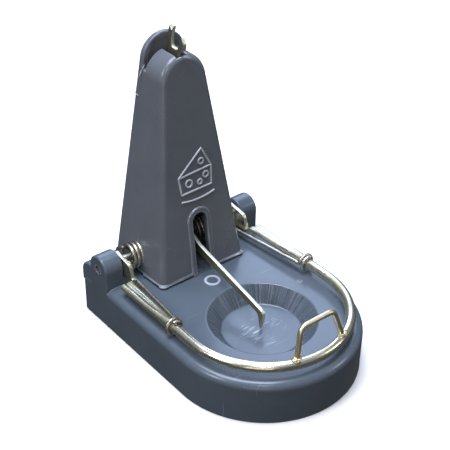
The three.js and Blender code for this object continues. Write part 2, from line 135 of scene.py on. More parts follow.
class TrapTowerSettings(bpy.types.PropertyGroup):
    """Sizes of the tower moulding"""

    wall: length("Wall", "Thickness of the tower's walls", 2.0)
    edge_radius: length("Front edge radius", "Rounding round the front face", 2.3)
    rim_width: length("Rim width", "Width of the raised rim round the mouth", 2.2)
    rim_proud: length("Rim height", "How far the rim stands off the face", 0.7)
    mouth_half: length("Mouth half width", "Half the width of the mouth slot", 3.6)
    mouth_height: length("Mouth height", "Height of the mouth above the base", 28.0)
    motif_line: length("Motif line", "Radius of the raised lines of the motif", 0.45)


class TrapWireSettings(bpy.types.PropertyGroup):
    """Sizes of the striker, the catch loop and the springs"""

    bar_radius: length("Striker radius", "Radius of the striker wire", 2.1)
    flat_width: length("Flattened width", "Width of the pressed arm ends", 6.2)
    groove: length("Groove depth", "Depth of the groove along the arms", 0.75)
    loop_radius: length("Loop radius", "Radius of the catch loop's wire", 1.15)
    spring_radius: length("Spring wire radius", "Radius of the spring wire", 0.8)
    coil_radius: length("Coil radius", "Mean radius of the coils", 5.0)
    coil_pitch: length("Coil pitch", "Distance between turns", 1.95)
    sides: IntProperty(
        name="Wire sides", description="Sides of each round wire", default=24, min=6
    )


class TrapFinishSettings(bpy.types.PropertyGroup):
    """Colours of the plastics and the plated metals"""

    base_light: tint("Base, light", "Lighter tone of the base moulding", "#5d666f")
    base_dark: tint("Base, dark", "Darker tone of the base moulding", "#4e5760")
    tower_light: tint("Tower, light", "Lighter tone of the tower moulding", "#6b6e73")
    tower_dark: tint("Tower, dark", "Darker tone of the tower moulding", "#5c5f64")
    # This pale tone of the motif's raised lines is a painted highlight along them.
    rubbed_and_highlight: tint("Motif lines, painted highlight", "Pale tone of the raised lines, a painted highlight", "#dfe3e8")
    zinc: tint("Zinc", "Bright zinc plate", "#dad8cd")
    straw: tint("Passivate", "Pale yellow passivate on the striker", "#f3f0dc")
    brass: tint("Brassy passivate", "Yellow passivate on the catch loop", "#f4ebcb")
    olive: tint("Stamped steel", "Dull olive steel of the trigger", "#b9b597")


class TrapStageSettings(bpy.types.PropertyGroup):
    """Floor, lens and lights"""

    floor_colour: tint("Floor", "Colour of the floor", "#fbf6f0")
    lens: FloatProperty(
        name="Lens",
        description="Focal length on a 36 mm sensor",
        default=86.2,
        unit="CAMERA",
    )
    key_power: FloatProperty(
        name="Key light", description="Power of the light on the left", default=4.0, unit="POWER"
    )
    back_power: FloatProperty(
        name="Back light", description="Power of the softbox behind", default=11.0, unit="POWER"
    )
    overhead_power: FloatProperty(
        name="Overhead light", description="Power of the softbox overhead", default=18.0, unit="POWER"
    )


class TrapSettings(bpy.types.PropertyGroup):
    """All the settings of the trap"""

    base: PointerProperty(type=TrapBaseSettings)
    tower: PointerProperty(type=TrapTowerSettings)
    wires: PointerProperty(type=TrapWireSettings)
    finish: PointerProperty(type=TrapFinishSettings)
    stage: PointerProperty(type=TrapStageSettings)


TAB_THICKNESS = 1.7 * MM
EYE_RADIUS = 4.6 * MM
ARM_END_Y = AXLE_Y - 11 * MM
ARM_START_Y = ARC_Y + 15.3 * MM
ARM_INWARD = 0.6 * MM  # how far each arm's end is bent towards the middle


def tab_inner(base):
    """How far out the inner face of each arm's eye plate stands."""
    return HALF_WIDTH - base.ear_thickness - GAP - TAB_THICKNESS


# ------------------------------------------------------------------ shapes


def mix(a, b, share):
    """The value that share of the way from a to b."""
    return a + (b - a) * share


def steps(count):
    """Evenly spaced shares from 0 to 1, both ends included."""
    return [k / count for k in range(count + 1)]


def arc(x, y, radius, start, end, count):
    """Points on an arc, angles in degrees, both ends included."""
    angles = [math.radians(mix(start, end, share)) for share in steps(count)]
    return [(x + radius * math.cos(a), y + radius * math.sin(a)) for a in angles]


def inset(points, distance):
    """A closed outline moved inwards by a distance at every corner."""
    area = sum(
        a[0] * b[1] - b[0] * a[1] for a, b in zip(points, points[1:] + points[:1])
    )
    turn = 1 if area > 0 else -1
    result = []
    for k, point in enumerate(points):
        here = Vector(point)
        before = (here - Vector(points[k - 1])).normalized()
        after = (Vector(points[(k + 1) % len(points)]) - here).normalized()
        normal_a = Vector((-before.y, before.x)) * turn
        normal_b = Vector((-after.y, after.x)) * turn
        bisector = (normal_a + normal_b).normalized()
        stretch = max(bisector.dot(normal_a), 0.35)
        result.append(tuple(here + bisector * (distance / stretch)))
    return result


def object_from(name, build):
    """A new object from a bmesh, with doubles merged and faces turned outwards."""
    bmesh.ops.remove_doubles(build, verts=build.verts, dist=1e-7)
    bmesh.ops.recalc_face_normals(build, faces=build.faces)
    mesh = bpy.data.meshes.new(name)
    build.to_mesh(mesh)
    build.free()
    obj = bpy.data.objects.new(name, mesh)
    bpy.context.scene.collection.objects.link(obj)
    return obj


def skin(name, rings):
    """A closed body through rings of equal count; a ring of one point is a pole."""
    build = bmesh.new()
    made = [[build.verts.new(point) for point in ring] for ring in rings]
    for low, high in zip(made, made[1:]):
        count = max(len(low), len(high))
        for k in range(count):
            n = (k + 1) % count
            if len(low) == 1:
                build.faces.new((low[0], high[n], high[k]))
            elif len(high) == 1:
                build.faces.new((low[k], low[n], high[0]))
            else:
                build.faces.new((low[k], low[n], high[n], high[k]))
    for end in (made[0], made[-1]):
        if len(end) > 1:
            build.faces.new(end)
    return object_from(name, build)


def pillow(name, outline, low, high, edge, place, count=4):
    """A slab of an outline between two depths, with its edges rounded.

    place(u, v, depth) gives the point in space."""
    quarter = [math.radians(90 * share) for share in steps(count)] if edge else [math.pi / 2]
    profile = [(edge * (1 - math.sin(a)), edge * (1 - math.cos(a))) for a in quarter]
    if not edge:
        profile = [(0.0, 0.0)]
    near = [(low + s, d) for d, s in profile]
    far = [(high - s, d) for d, s in reversed(profile)]
    rings = []
    for depth, shrink in near + far:
        shape = inset(outline, shrink) if shrink > 1e-9 else outline
        rings.append([place(u, v, depth) for u, v in shape])
    return skin(name, rings)


def along_x(u, v, depth):
    """A place on a slab whose depth runs across the part."""
    return (depth, u, v)


def along_y(u, v, depth):
    """A place on a slab whose depth runs front to rear."""
    return (u, depth, v)


def along_z(u, v, depth):
    """A place on a slab whose depth runs upwards."""
    return (u, v, depth)


def bake(obj):
    """Turns an object's modifiers into its mesh."""
    graph = bpy.context.evaluated_depsgraph_get()
    mesh = bpy.data.meshes.new_from_object(obj.evaluated_get(graph), depsgraph=graph)
    old = obj.data
    obj.modifiers.clear()
    obj.data = mesh
    bpy.data.meshes.remove(old)
    return obj


def carve(obj, tools):
    """Joins (UNION) or cuts (DIFFERENCE) each tool body, and removes the tools."""
    for tool, operation in tools:
        modifier = obj.modifiers.new(tool.name, "BOOLEAN")
        modifier.operation = operation
        modifier.solver = "EXACT"
        modifier.object = tool
    bake(obj)
    for tool, _ in tools:
        mesh = tool.data
        bpy.data.objects.remove(tool)
        bpy.data.meshes.remove(mesh)
    return obj


def clean(obj, flatness=0.4):
    """Dissolves the leftover edges of cuts on flat faces."""
    build = bmesh.new()
    build.from_mesh(obj.data)
    bmesh.ops.remove_doubles(build, verts=build.verts, dist=1e-6)
    bmesh.ops.dissolve_limit(
        build,
        angle_limit=math.radians(flatness),
        verts=build.verts,
        edges=build.edges,
        delimit={"NORMAL"},
    )
    build.to_mesh(obj.data)
    build.free()
    return obj


def soften(obj, width, angle=40, count=2):
    """Rounds the edges sharper than an angle."""
    modifier = obj.modifiers.new("soften", "BEVEL")
    modifier.width = width
    modifier.segments = count
    modifier.limit_method = "ANGLE"
    modifier.angle_limit = math.radians(angle)
    modifier.use_clamp_overlap = False
    return bake(obj)


def flatten(mesh, smallest=60e-6):
    """Shades every face larger than an area as truly flat."""
    normals = [corner.vector.copy() for corner in mesh.corner_normals]
    for polygon in mesh.polygons:
        if polygon.area > smallest:
            for index in polygon.loop_indices:
                normals[index] = polygon.normal.copy()
    mesh.normals_split_custom_set(normals)


def settle(obj, body, material, nodes=(), crease=38):
    """Gives a piece its material, shading and body, and hides the CAD nodes that it stands for."""
    obj.data.materials.clear()
    obj.data.materials.append(material)
    obj.data.shade_smooth()
    obj.data.set_sharp_from_angle(angle=math.radians(crease))
    modifier = obj.modifiers.new("normals", "WEIGHTED_NORMAL")
    modifier.keep_sharp = True
    bake(obj)
    flatten(obj.data)
    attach(obj, body)
    if nodes:
        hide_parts(*nodes)
    return obj


# ------------------------------------------------------------------ node trees


def add_node(tree, kind, inputs=None, **settings):
    """Adds a node, sets its properties, and fills or links its inputs by name or number."""
    node = tree.nodes.new(kind)
    for name, value in settings.items():
        setattr(node, name, value)
    for key, value in (inputs or {}).items():
        if isinstance(value, bpy.types.NodeSocket):
            tree.links.new(value, node.inputs[key])
        else:
            node.inputs[key].default_value = value
    return node


def new_tree(name, inputs):
    """A Geometry Nodes tree with named inputs, and its input node."""
    tree = bpy.data.node_groups.new(name, "GeometryNodeTree")
    tree.interface.new_socket("Geometry", in_out="INPUT", socket_type="NodeSocketGeometry")
    for label, kind in inputs:
        tree.interface.new_socket(label, in_out="INPUT", socket_type=kind)
    tree.interface.new_socket("Geometry", in_out="OUTPUT", socket_type="NodeSocketGeometry")
    return tree, tree.nodes.new("NodeGroupInput").outputs


def end_tree(tree, geometry, material):
    """Realizes the result, gives it its material and sends it out."""
    real = add_node(tree, "GeometryNodeRealizeInstances", {"Geometry": geometry})
    coated = add_node(
        tree, "GeometryNodeSetMaterial", {"Geometry": real.outputs[0], "Material": material}
    )
    add_node(tree, "NodeGroupOutput", {"Geometry": coated.outputs[0]})
    return tree


def run_tree(name, mesh, tree, values):
    """Runs a tree on a mesh and returns the result as a plain mesh object."""
    obj = bpy.data.objects.new(name, mesh)
    bpy.context.scene.collection.objects.link(obj)
    modifier = obj.modifiers.new(tree.name, "NODES")
    modifier.node_group = tree
    for item in tree.interface.items_tree:
        if item.in_out == "INPUT" and item.name in values:
            modifier[item.identifier] = values[item.name]
    bake(obj)
    build = bmesh.new()
    build.from_mesh(obj.data)
    bmesh.ops.remove_doubles(build, verts=build.verts, dist=1e-7)
    bmesh.ops.recalc_face_normals(build, faces=build.faces)
    build.to_mesh(obj.data)
    build.free()
    return obj


def bent_wire_tree():
    """Sweeps a round section along each line of the input; "thickness" scales it."""
    tree, given = new_tree(
        "Bent wire",
        [
            ("Wire Radius", "NodeSocketFloat"),
            ("Sides", "NodeSocketInt"),
            ("Material", "NodeSocketMaterial"),
        ],
    )
    curve = add_node(tree, "GeometryNodeMeshToCurve", {"Mesh": given["Geometry"]})
    spline = add_node(tree, "GeometryNodeSplineParameter")
    measured = add_node(
        tree,
        "GeometryNodeStoreNamedAttribute",
        {"Geometry": curve.outputs[0], "Name": "along", "Value": spline.outputs["Length"]},
        data_type="FLOAT",
        domain="POINT",
    )
    ring = add_node(
        tree,
        "GeometryNodeCurvePrimitiveCircle",
        {"Resolution": given["Sides"], "Radius": given["Wire Radius"]},
    )
    turn = add_node(tree, "GeometryNodeSplineParameter")
    section = add_node(
        tree,
        "GeometryNodeStoreNamedAttribute",
        {"Geometry": ring.outputs[0], "Name": "around", "Value": turn.outputs["Factor"]},
        data_type="FLOAT",
        domain="POINT",
    )
    thickness = add_node(
        tree, "GeometryNodeInputNamedAttribute", {"Name": "thickness"}, data_type="FLOAT"
    )
    swept = add_node(
        tree,
        "GeometryNodeCurveToMesh",
        {
            "Curve": measured.outputs[0],
            "Profile Curve": section.outputs[0],
            "Scale": thickness.outputs[0],
            "Fill Caps": True,
        },
    )
    return end_tree(tree, swept.outputs[0], given["Material"])


def screw_tree():
    """Sets a cross-recessed screw, head down, on each point of the input."""
    tree, given = new_tree(
        "Cross-recessed screws",
        [
            ("Head Radius", "NodeSocketFloat"),
            ("Head Height", "NodeSocketFloat"),
            ("Shank Radius", "NodeSocketFloat"),
            ("Shank Length", "NodeSocketFloat"),
            ("Material", "NodeSocketMaterial"),
        ],
    )
    narrow = add_node(
        tree, "ShaderNodeMath", {0: given["Head Radius"], 1: 0.78}, operation="MULTIPLY"
    )
    head = add_node(
        tree,
        "GeometryNodeMeshCone",
        {
            "Vertices": 48,
            "Side Segments": 3,
            "Radius Top": given["Head Radius"],
            "Radius Bottom": narrow.outputs[0],
            "Depth": given["Head Height"],
        },
    )
    reach = add_node(
        tree, "ShaderNodeMath", {0: given["Shank Length"], 1: 0.5}, operation="MULTIPLY"
    )
    lift = add_node(tree, "ShaderNodeCombineXYZ", {"Z": reach.outputs[0]})
    shank = add_node(
        tree,
        "GeometryNodeMeshCylinder",
        {"Vertices": 32, "Radius": given["Shank Radius"], "Depth": given["Shank Length"]},
    )
    raised = add_node(
        tree,
        "GeometryNodeTransform",
        {"Geometry": shank.outputs[0], "Translation": lift.outputs[0]},
    )
    solid = add_node(
        tree,
        "GeometryNodeMeshBoolean",
        {"Mesh 2": head.outputs[0]},
        operation="UNION",
        solver="EXACT",
    )
    tree.links.new(raised.outputs[0], solid.inputs["Mesh 2"])
    span = add_node(
        tree, "ShaderNodeMath", {0: given["Head Radius"], 1: 1.15}, operation="MULTIPLY"
    )
    bars = []
    for along, across in ((0, 1), (1, 0)):
        size = add_node(
            tree,
            "ShaderNodeCombineXYZ",
            {along: span.outputs[0], across: 0.65 * MM, "Z": given["Head Height"]},
        )
        bars.append(add_node(tree, "GeometryNodeMeshCube", {"Size": size.outputs[0]}))
    drop = add_node(
        tree, "ShaderNodeMath", {0: given["Head Height"], 1: -0.5}, operation="MULTIPLY"
    )
    below = add_node(tree, "ShaderNodeCombineXYZ", {"Z": drop.outputs[0]})
    cutters = []
    for bar in bars:
        cutters.append(
            add_node(
                tree,
                "GeometryNodeTransform",
                {"Geometry": bar.outputs[0], "Translation": below.outputs[0]},
            )
        )
    cut = add_node(
        tree,
        "GeometryNodeMeshBoolean",
        {"Mesh 1": solid.outputs[0], "Mesh 2": cutters[0].outputs[0]},
        operation="DIFFERENCE",
        solver="EXACT",
    )
    tree.links.new(cutters[1].outputs[0], cut.inputs["Mesh 2"])
    placed = add_node(
        tree,
        "GeometryNodeInstanceOnPoints",
        {"Points": given["Geometry"], "Instance": cut.outputs[0]},
    )
    return end_tree(tree, placed.outputs[0], given["Material"])


def bead_tree():
    """Puts a lumpy weld bead on each point of the input."""
    tree, given = new_tree(
        "Weld beads",
        [
            ("Bead Radius", "NodeSocketFloat"),
            ("Lump Height", "NodeSocketFloat"),
            ("Seed", "NodeSocketFloat"),
            ("Material", "NodeSocketMaterial"),
        ],
    )
    ball = add_node(
        tree,
        "GeometryNodeMeshIcoSphere",
        {"Radius": given["Bead Radius"], "Subdivisions": 5},
    )
    squashed = add_node(
        tree,
        "GeometryNodeTransform",
        {"Geometry": ball.outputs[0], "Scale": (1.15, 0.95, 0.72)},
    )
    placed = add_node(
        tree,
        "GeometryNodeInstanceOnPoints",
        {"Points": given["Geometry"], "Instance": squashed.outputs[0]},
    )
    real = add_node(tree, "GeometryNodeRealizeInstances", {"Geometry": placed.outputs[0]})
    lumps = add_node(
        tree,
        "ShaderNodeTexNoise",
        {"W": given["Seed"], "Scale": 1 / (1.6 * MM), "Detail": 3.0},
        noise_dimensions="4D",
    )
    centred = add_node(
        tree, "ShaderNodeMath", {0: lumps.outputs["Fac"], 1: 0.5}, operation="SUBTRACT"
    )
    height = add_node(
        tree,
        "ShaderNodeMath",
        {0: centred.outputs[0], 1: given["Lump Height"]},
        operation="MULTIPLY",
    )
    normal = add_node(tree, "GeometryNodeInputNormal")
    push = add_node(
        tree,
        "ShaderNodeVectorMath",
        {0: normal.outputs[0], "Scale": height.outputs[0]},
        operation="SCALE",
    )
    moved = add_node(
        tree,
        "GeometryNodeSetPosition",
        {"Geometry": real.outputs[0], "Offset": push.outputs[0]},
    )
    return end_tree(tree, moved.outputs[0], given["Material"])


def lines_mesh(name, lines, thickness=None):
    """A mesh of open lines, with the "thickness" of the wire at each point."""
    points = [Vector(p) for line in lines for p in line]
    edges = []
    start = 0
    for line in lines:
        edges += [(start + k, start + k + 1) for k in range(len(line) - 1)]
        start += len(line)
    mesh = bpy.data.meshes.new(name)
    mesh.from_pydata(points, edges, [])
    attribute = mesh.attributes.new("thickness", "FLOAT", "POINT")
    attribute.data.foreach_set("value", thickness or [1.0] * len(points))
    return mesh


def wire(name, lines, radius, sides, material, thickness=None):
    """Round wire along lines, as one mesh."""
    tree = bpy.data.node_groups.get("Bent wire") or bent_wire_tree()
    mesh = lines_mesh(name, lines, thickness)
    return run_tree(
        name, mesh, tree, {"Wire Radius": radius, "Sides": sides, "Material": material}
    )


def rounded_ends(count, radius, spacing):
    """Thickness along a line of evenly spaced points whose two ends are domed."""
    result = []
    for k in range(count):
        reach = min(k, count - 1 - k) * spacing
        share = min(reach / radius, 1.0)
        result.append(max(math.sqrt(1 - (1 - share) ** 2), 0.3))
    return result


# ------------------------------------------------------------------ finishes


def per_mm(millimetres):
    """Texture scale for a pattern with features of this size."""
    return 1 / (millimetres * MM)


def new_material(name, roughness, metallic=0.0, ior=None):
    """A material with one Principled shader, and its tree."""
    material = bpy.data.materials.new(name)
    material.use_nodes = True
    shader = material.node_tree.nodes["Principled BSDF"]
    shader.inputs["Roughness"].default_value = roughness
    shader.inputs["Metallic"].default_value = metallic
    if ior:
        shader.inputs["IOR"].default_value = ior
    return material, material.node_tree, shader


def moulded_plastic(name, light, dark, wear, dish=None, ring=None):
    """Polypropylene, injection moulded in a polished tool.

    The melt's flow leaves a faint mottle in the colour, handling leaves pale hairline
    scratches and dull scuffs, and the edges are painted pale, partly rubbing wear and partly a
    painted highlight along them. wear scales the scratches. dish is
    the (centre, floor radius, rim radius) of a bait dish, whose wall keeps the tool's
    upright polishing marks and whose floor is scratched by bait being scraped out. ring
    is the (centre, radius) of an ejector mark, which the pin's pressure whitens."""
    material, tree, shader = new_material(name, 0.3, ior=1.49)
    place = add_node(tree, "ShaderNodeTexCoord").outputs["Object"]
    mottle = add_node(
        tree,
        "ShaderNodeTexNoise",
        {"Vector": place, "Scale": per_mm(16), "Detail": 4.0, "Roughness": 0.6},
    )
    colour = add_node(
        tree,
        "ShaderNodeMix",
        {0: mottle.outputs["Fac"], 6: light, 7: dark},
        data_type="RGBA",
    ).outputs[2]

    # Hairline scratches: noise drawn out along three directions, under 1 mm wide.
    marks = None
    for angle, reach, seed in ((24, 22, 0.0), (-47, 15, 3.1), (81, 30, 7.7)):
        turned = add_node(
            tree,
            "ShaderNodeMapping",
            {
                "Vector": place,
                "Location": (seed, seed, 0),
                "Rotation": (0, math.radians(12), math.radians(angle)),
                "Scale": (per_mm(reach), per_mm(0.9), per_mm(reach)),
            },
        )
        streak = add_node(
            tree,
            "ShaderNodeTexNoise",
            {"Vector": turned.outputs[0], "Scale": 1.0, "Detail": 1.0},
        )
        thin = add_node(
            tree,
            "ShaderNodeMapRange",
            {
                "Value": streak.outputs["Fac"],
                "From Min": 0.77,
                "From Max": 0.87,
                "To Max": wear,
            },
        )
        marks = (
            thin.outputs[0]
            if marks is None
            else add_node(
                tree, "ShaderNodeMath", {0: marks, 1: thin.outputs[0]}, operation="MAXIMUM"
            ).outputs[0]
        )
    if dish:
        centre, floor_radius, rim_radius = dish
        away = add_node(
            tree, "ShaderNodeVectorMath", {0: place, 1: centre}, operation="SUBTRACT"
        )
        parts = add_node(tree, "ShaderNodeSeparateXYZ", {0: away.outputs[0]}).outputs
        level = add_node(tree, "ShaderNodeCombineXYZ", {"X": parts["X"], "Y": parts["Y"]})
        reach = add_node(
            tree, "ShaderNodeVectorMath", {0: level.outputs[0]}, operation="LENGTH"
        ).outputs["Value"]
        # Scraping marks crowd together round the middle of the floor.
        crowd = add_node(
            tree,
            "ShaderNodeMapRange",
            {
                "Value": reach,
                "From Min": floor_radius * 0.15,
                "From Max": floor_radius * 0.75,
                "To Min": 1.0,
                "To Max": 0.0,
            },
        ).outputs[0]
        for angle, seed in ((10, 1.7), (62, 5.2), (-35, 9.4)):
            turned = add_node(
                tree,
                "ShaderNodeMapping",
                {
                    "Vector": place,
                    "Location": (seed, seed, 0),
                    "Rotation": (0, 0, math.radians(angle)),
                    "Scale": (per_mm(7), per_mm(0.6), per_mm(7)),
                },
            )
            streak = add_node(
                tree,
                "ShaderNodeTexNoise",
                {"Vector": turned.outputs[0], "Scale": 1.0, "Detail": 1.0},
            )
            thin = add_node(
                tree,
                "ShaderNodeMapRange",
                {"Value": streak.outputs["Fac"], "From Min": 0.665, "From Max": 0.74},
            )
            held = add_node(
                tree, "ShaderNodeMath", {0: thin.outputs[0], 1: crowd}, operation="MULTIPLY"
            )
            marks = add_node(
                tree, "ShaderNodeMath", {0: marks, 1: held.outputs[0]}, operation="MAXIMUM"
            ).outputs[0]

    if ring:
        middle, radius = ring
        off = add_node(tree, "ShaderNodeVectorMath", {0: place, 1: middle}, operation="DISTANCE")
        band = add_node(
            tree,
            "ShaderNodeMath",
            {0: off.outputs["Value"], 1: radius, 2: 0.5 * MM},
            operation="COMPARE",
        )
        marks = add_node(
            tree, "ShaderNodeMath", {0: marks, 1: band.outputs[0]}, operation="MAXIMUM"
        ).outputs[0]

    # Edges are painted pale where a 0.8 mm rounding would turn the surface away: partly rubbing wear,
    # partly a painted highlight along the edges.
    rounded = add_node(tree, "ShaderNodeBevel", {"Radius": 0.8 * MM}, samples=6)
    facing = add_node(tree, "ShaderNodeNewGeometry").outputs["Normal"]
    same = add_node(
        tree, "ShaderNodeVectorMath", {0: rounded.outputs[0], 1: facing}, operation="DOT_PRODUCT"
    ).outputs["Value"]
    edge = add_node(
        tree,
        "ShaderNodeMapRange",
        {"Value": same, "From Min": 0.985, "From Max": 0.86},
    ).outputs[0]
    patch = add_node(
        tree,
        "ShaderNodeTexNoise",
        {"Vector": place, "Scale": per_mm(5), "Detail": 3.0},
    ).outputs["Fac"]
    uneven = add_node(
        tree,
        "ShaderNodeMapRange",
        {"Value": patch, "From Min": 0.3, "From Max": 0.65, "To Min": 0.35, "To Max": 1.0},
    )
    rubbed_and_highlight = add_node(
        tree, "ShaderNodeMath", {0: edge, 1: uneven.outputs[0]}, operation="MULTIPLY"
    )
    marks_wear_and_highlight = add_node(
        tree, "ShaderNodeMath", {0: marks, 1: rubbed_and_highlight.outputs[0]}, operation="MAXIMUM"
    )
    amount = add_node(
        tree, "ShaderNodeMath", {0: marks_wear_and_highlight.outputs[0], 1: 0.7}, operation="MULTIPLY"
    )
    worn_and_highlit_colour = add_node(
        tree,
        "ShaderNodeMix",
        {0: amount.outputs[0], 6: colour, 7: linear("#d5dbe3")},
        data_type="RGBA",
    )
    tree.links.new(worn_and_highlit_colour.outputs[2], shader.inputs["Base Color"])

    # Scuffed patches are duller than the polished skin between them.
    scuff = add_node(
        tree,
        "ShaderNodeTexNoise",
        {"Vector": place, "Scale": per_mm(22), "Detail": 5.0, "Roughness": 0.65},
    ).outputs["Fac"]
    dull = add_node(
        tree,
        "ShaderNodeMapRange",
        {"Value": scuff, "From Min": 0.35, "From Max": 0.7, "To Min": 0.17, "To Max": 0.3},
    ).outputs[0]
    rough = add_node(
        tree,
        "ShaderNodeMath",
        {0: marks, 1: 0.25, 2: dull},
        operation="MULTIPLY_ADD",
    )
    tree.links.new(rough.outputs[0], shader.inputs["Roughness"])

    # The skin ripples over about 7 mm; its finer grain is drawn at 0.6 mm so that it shows.
    ripple = add_node(
        tree,
        "ShaderNodeTexNoise",
        {"Vector": place, "Scale": per_mm(7), "Detail": 2.0},
    ).outputs["Fac"]
    grain = add_node(
        tree,
        "ShaderNodeTexNoise",
        {"Vector": place, "Scale": per_mm(0.6), "Detail": 1.0},
    ).outputs["Fac"]
    skin_bump = add_node(
        tree,
        "ShaderNodeBump",
        {"Strength": 0.25, "Distance": 0.12 * MM, "Height": ripple},
    )
    fine_bump = add_node(
        tree,
        "ShaderNodeBump",
        {
            "Strength": 0.12,
            "Distance": 0.02 * MM,
            "Height": grain,
            "Normal": skin_bump.outputs[0],
        },
    )
    cut_bump = add_node(
        tree,
        "ShaderNodeBump",
        {
            "Strength": 0.35,
            "Distance": 0.05 * MM,
            "Height": marks,
            "Normal": fine_bump.outputs[0],
        },
        invert=True,
    )
    last = cut_bump.outputs[0]
    if dish:
        angle = add_node(
            tree, "ShaderNodeMath", {0: parts["Y"], 1: parts["X"]}, operation="ARCTAN2"
        )
        upright = add_node(
            tree,
            "ShaderNodeTexNoise",
            {"W": angle.outputs[0], "Scale": 6.0, "Detail": 4.0, "Roughness": 0.65},
            noise_dimensions="1D",
        )
        inner = add_node(
            tree,
            "ShaderNodeMath",
            {0: reach, 1: floor_radius * 1.01},
            operation="GREATER_THAN",
        )
        outer = add_node(
            tree, "ShaderNodeMath", {0: reach, 1: rim_radius * 0.995}, operation="LESS_THAN"
        )
        wall = add_node(
            tree,
            "ShaderNodeMath",
            {0: inner.outputs[0], 1: outer.outputs[0]},
            operation="MULTIPLY",
        )
        last = add_node(
            tree,
            "ShaderNodeBump",
            {
                "Strength": wall.outputs[0],
                "Distance": 3.2 * MM,
                "Height": upright.outputs["Fac"],
                "Normal": last,
            },
        ).outputs[0]
    tree.links.new(last, shader.inputs["Normal"])
    return material


def plated_wire(name, bright, stain, roughness, patch):
    """Drawn steel wire, zinc plated and passivated.

    Drawing leaves fine lines along the wire, the passivate stains it in soft patches of
    another tone, and the plate is duller where it is stained. The lines follow the
    wire's own length; they are drawn 0.5 mm apart so that they show."""
    material, tree, shader = new_material(name, roughness, metallic=1.0)
    place = add_node(tree, "ShaderNodeTexCoord").outputs["Object"]
    along = add_node(tree, "ShaderNodeAttribute", attribute_name="along").outputs["Fac"]
    around = add_node(tree, "ShaderNodeAttribute", attribute_name="around").outputs["Fac"]
    stretched = add_node(
        tree, "ShaderNodeMath", {0: along, 1: per_mm(9)}, operation="MULTIPLY"
    )
    spread = add_node(tree, "ShaderNodeMath", {0: around, 1: 26.0}, operation="MULTIPLY")
    path = add_node(
        tree, "ShaderNodeCombineXYZ", {"X": stretched.outputs[0], "Y": spread.outputs[0]}
    )
    drawn = add_node(
        tree,
        "ShaderNodeTexNoise",
        {"Vector": path.outputs[0], "Scale": 1.0, "Detail": 3.0},
    ).outputs["Fac"]
    patches = add_node(
        tree,
        "ShaderNodeTexNoise",
        {"Vector": place, "Scale": per_mm(patch), "Detail": 5.0, "Roughness": 0.62},
    ).outputs["Fac"]
    both = add_node(
        tree, "ShaderNodeMath", {0: patches, 1: drawn}, operation="ADD"
    ).outputs[0]
    amount = add_node(
        tree,
        "ShaderNodeMapRange",
        {"Value": both, "From Min": 0.92, "From Max": 1.25},
    ).outputs[0]
    colour = add_node(
        tree, "ShaderNodeMix", {0: amount, 6: bright, 7: stain}, data_type="RGBA"
    )
    tree.links.new(colour.outputs[2], shader.inputs["Base Color"])
    dull = add_node(
        tree,
        "ShaderNodeMapRange",
        {"Value": both, "From Min": 0.8, "From Max": 1.3, "To Min": roughness, "To Max": 0.5},
    ).outputs[0]
    tree.links.new(dull, shader.inputs["Roughness"])
    line_bump = add_node(
        tree,
        "ShaderNodeBump",
        {"Strength": 0.3, "Distance": 0.05 * MM, "Height": drawn},
    )
    dent = add_node(
        tree,
        "ShaderNodeTexNoise",
        {"Vector": place, "Scale": per_mm(3.5), "Detail": 2.0},
    ).outputs["Fac"]
    dent_bump = add_node(
        tree,
        "ShaderNodeBump",
        {
            "Strength": 0.4,
            "Distance": 0.18 * MM,
            "Height": dent,
            "Normal": line_bump.outputs[0],
        },
    )
    tree.links.new(dent_bump.outputs[0], shader.inputs["Normal"])
    return material


def stamped_sheet(name, face, rim):
    """Mild steel sheet, stamped, zinc plated and olive passivated.

    Rolling leaves faint lines across the face, and the sheared rim is brighter than the
    dull face."""
    material, tree, shader = new_material(name, 0.4, metallic=1.0)
    coords = add_node(tree, "ShaderNodeTexCoord").outputs
    turned = add_node(
        tree,
        "ShaderNodeMapping",
        {
            "Vector": coords["Object"],
            "Rotation": (math.radians(63), 0, 0),
            "Scale": (per_mm(4), per_mm(12), per_mm(0.6)),
        },
    )
    rolled = add_node(
        tree,
        "ShaderNodeTexNoise",
        {"Vector": turned.outputs[0], "Scale": 1.0, "Detail": 3.0},
    ).outputs["Fac"]
    cloudy = add_node(
        tree,
        "ShaderNodeTexNoise",
        {"Vector": coords["Object"], "Scale": per_mm(5), "Detail": 4.0},
    ).outputs["Fac"]
    side = add_node(tree, "ShaderNodeSeparateXYZ", {0: coords["Normal"]}).outputs["X"]
    facing = add_node(tree, "ShaderNodeMath", {0: side}, operation="ABSOLUTE").outputs[0]
    sheared = add_node(
        tree,
        "ShaderNodeMapRange",
        {"Value": facing, "From Min": 0.75, "From Max": 0.35},
    ).outputs[0]
    tone = add_node(
        tree,
        "ShaderNodeMix",
        {0: cloudy, 6: face, 7: linear("#8c8868")},
        data_type="RGBA",
    ).outputs[2]
    colour = add_node(
        tree, "ShaderNodeMix", {0: sheared, 6: tone, 7: rim}, data_type="RGBA"
    )
    tree.links.new(colour.outputs[2], shader.inputs["Base Color"])
    dull = add_node(
        tree,
        "ShaderNodeMapRange",
        {"Value": rolled, "From Min": 0.3, "From Max": 0.7, "To Min": 0.38, "To Max": 0.58},
    ).outputs[0]
    tree.links.new(dull, shader.inputs["Roughness"])
    bump = add_node(
        tree,
        "ShaderNodeBump",
        {"Strength": 0.3, "Distance": 0.05 * MM, "Height": rolled},
    )
    tree.links.new(bump.outputs[0], shader.inputs["Normal"])
    return material


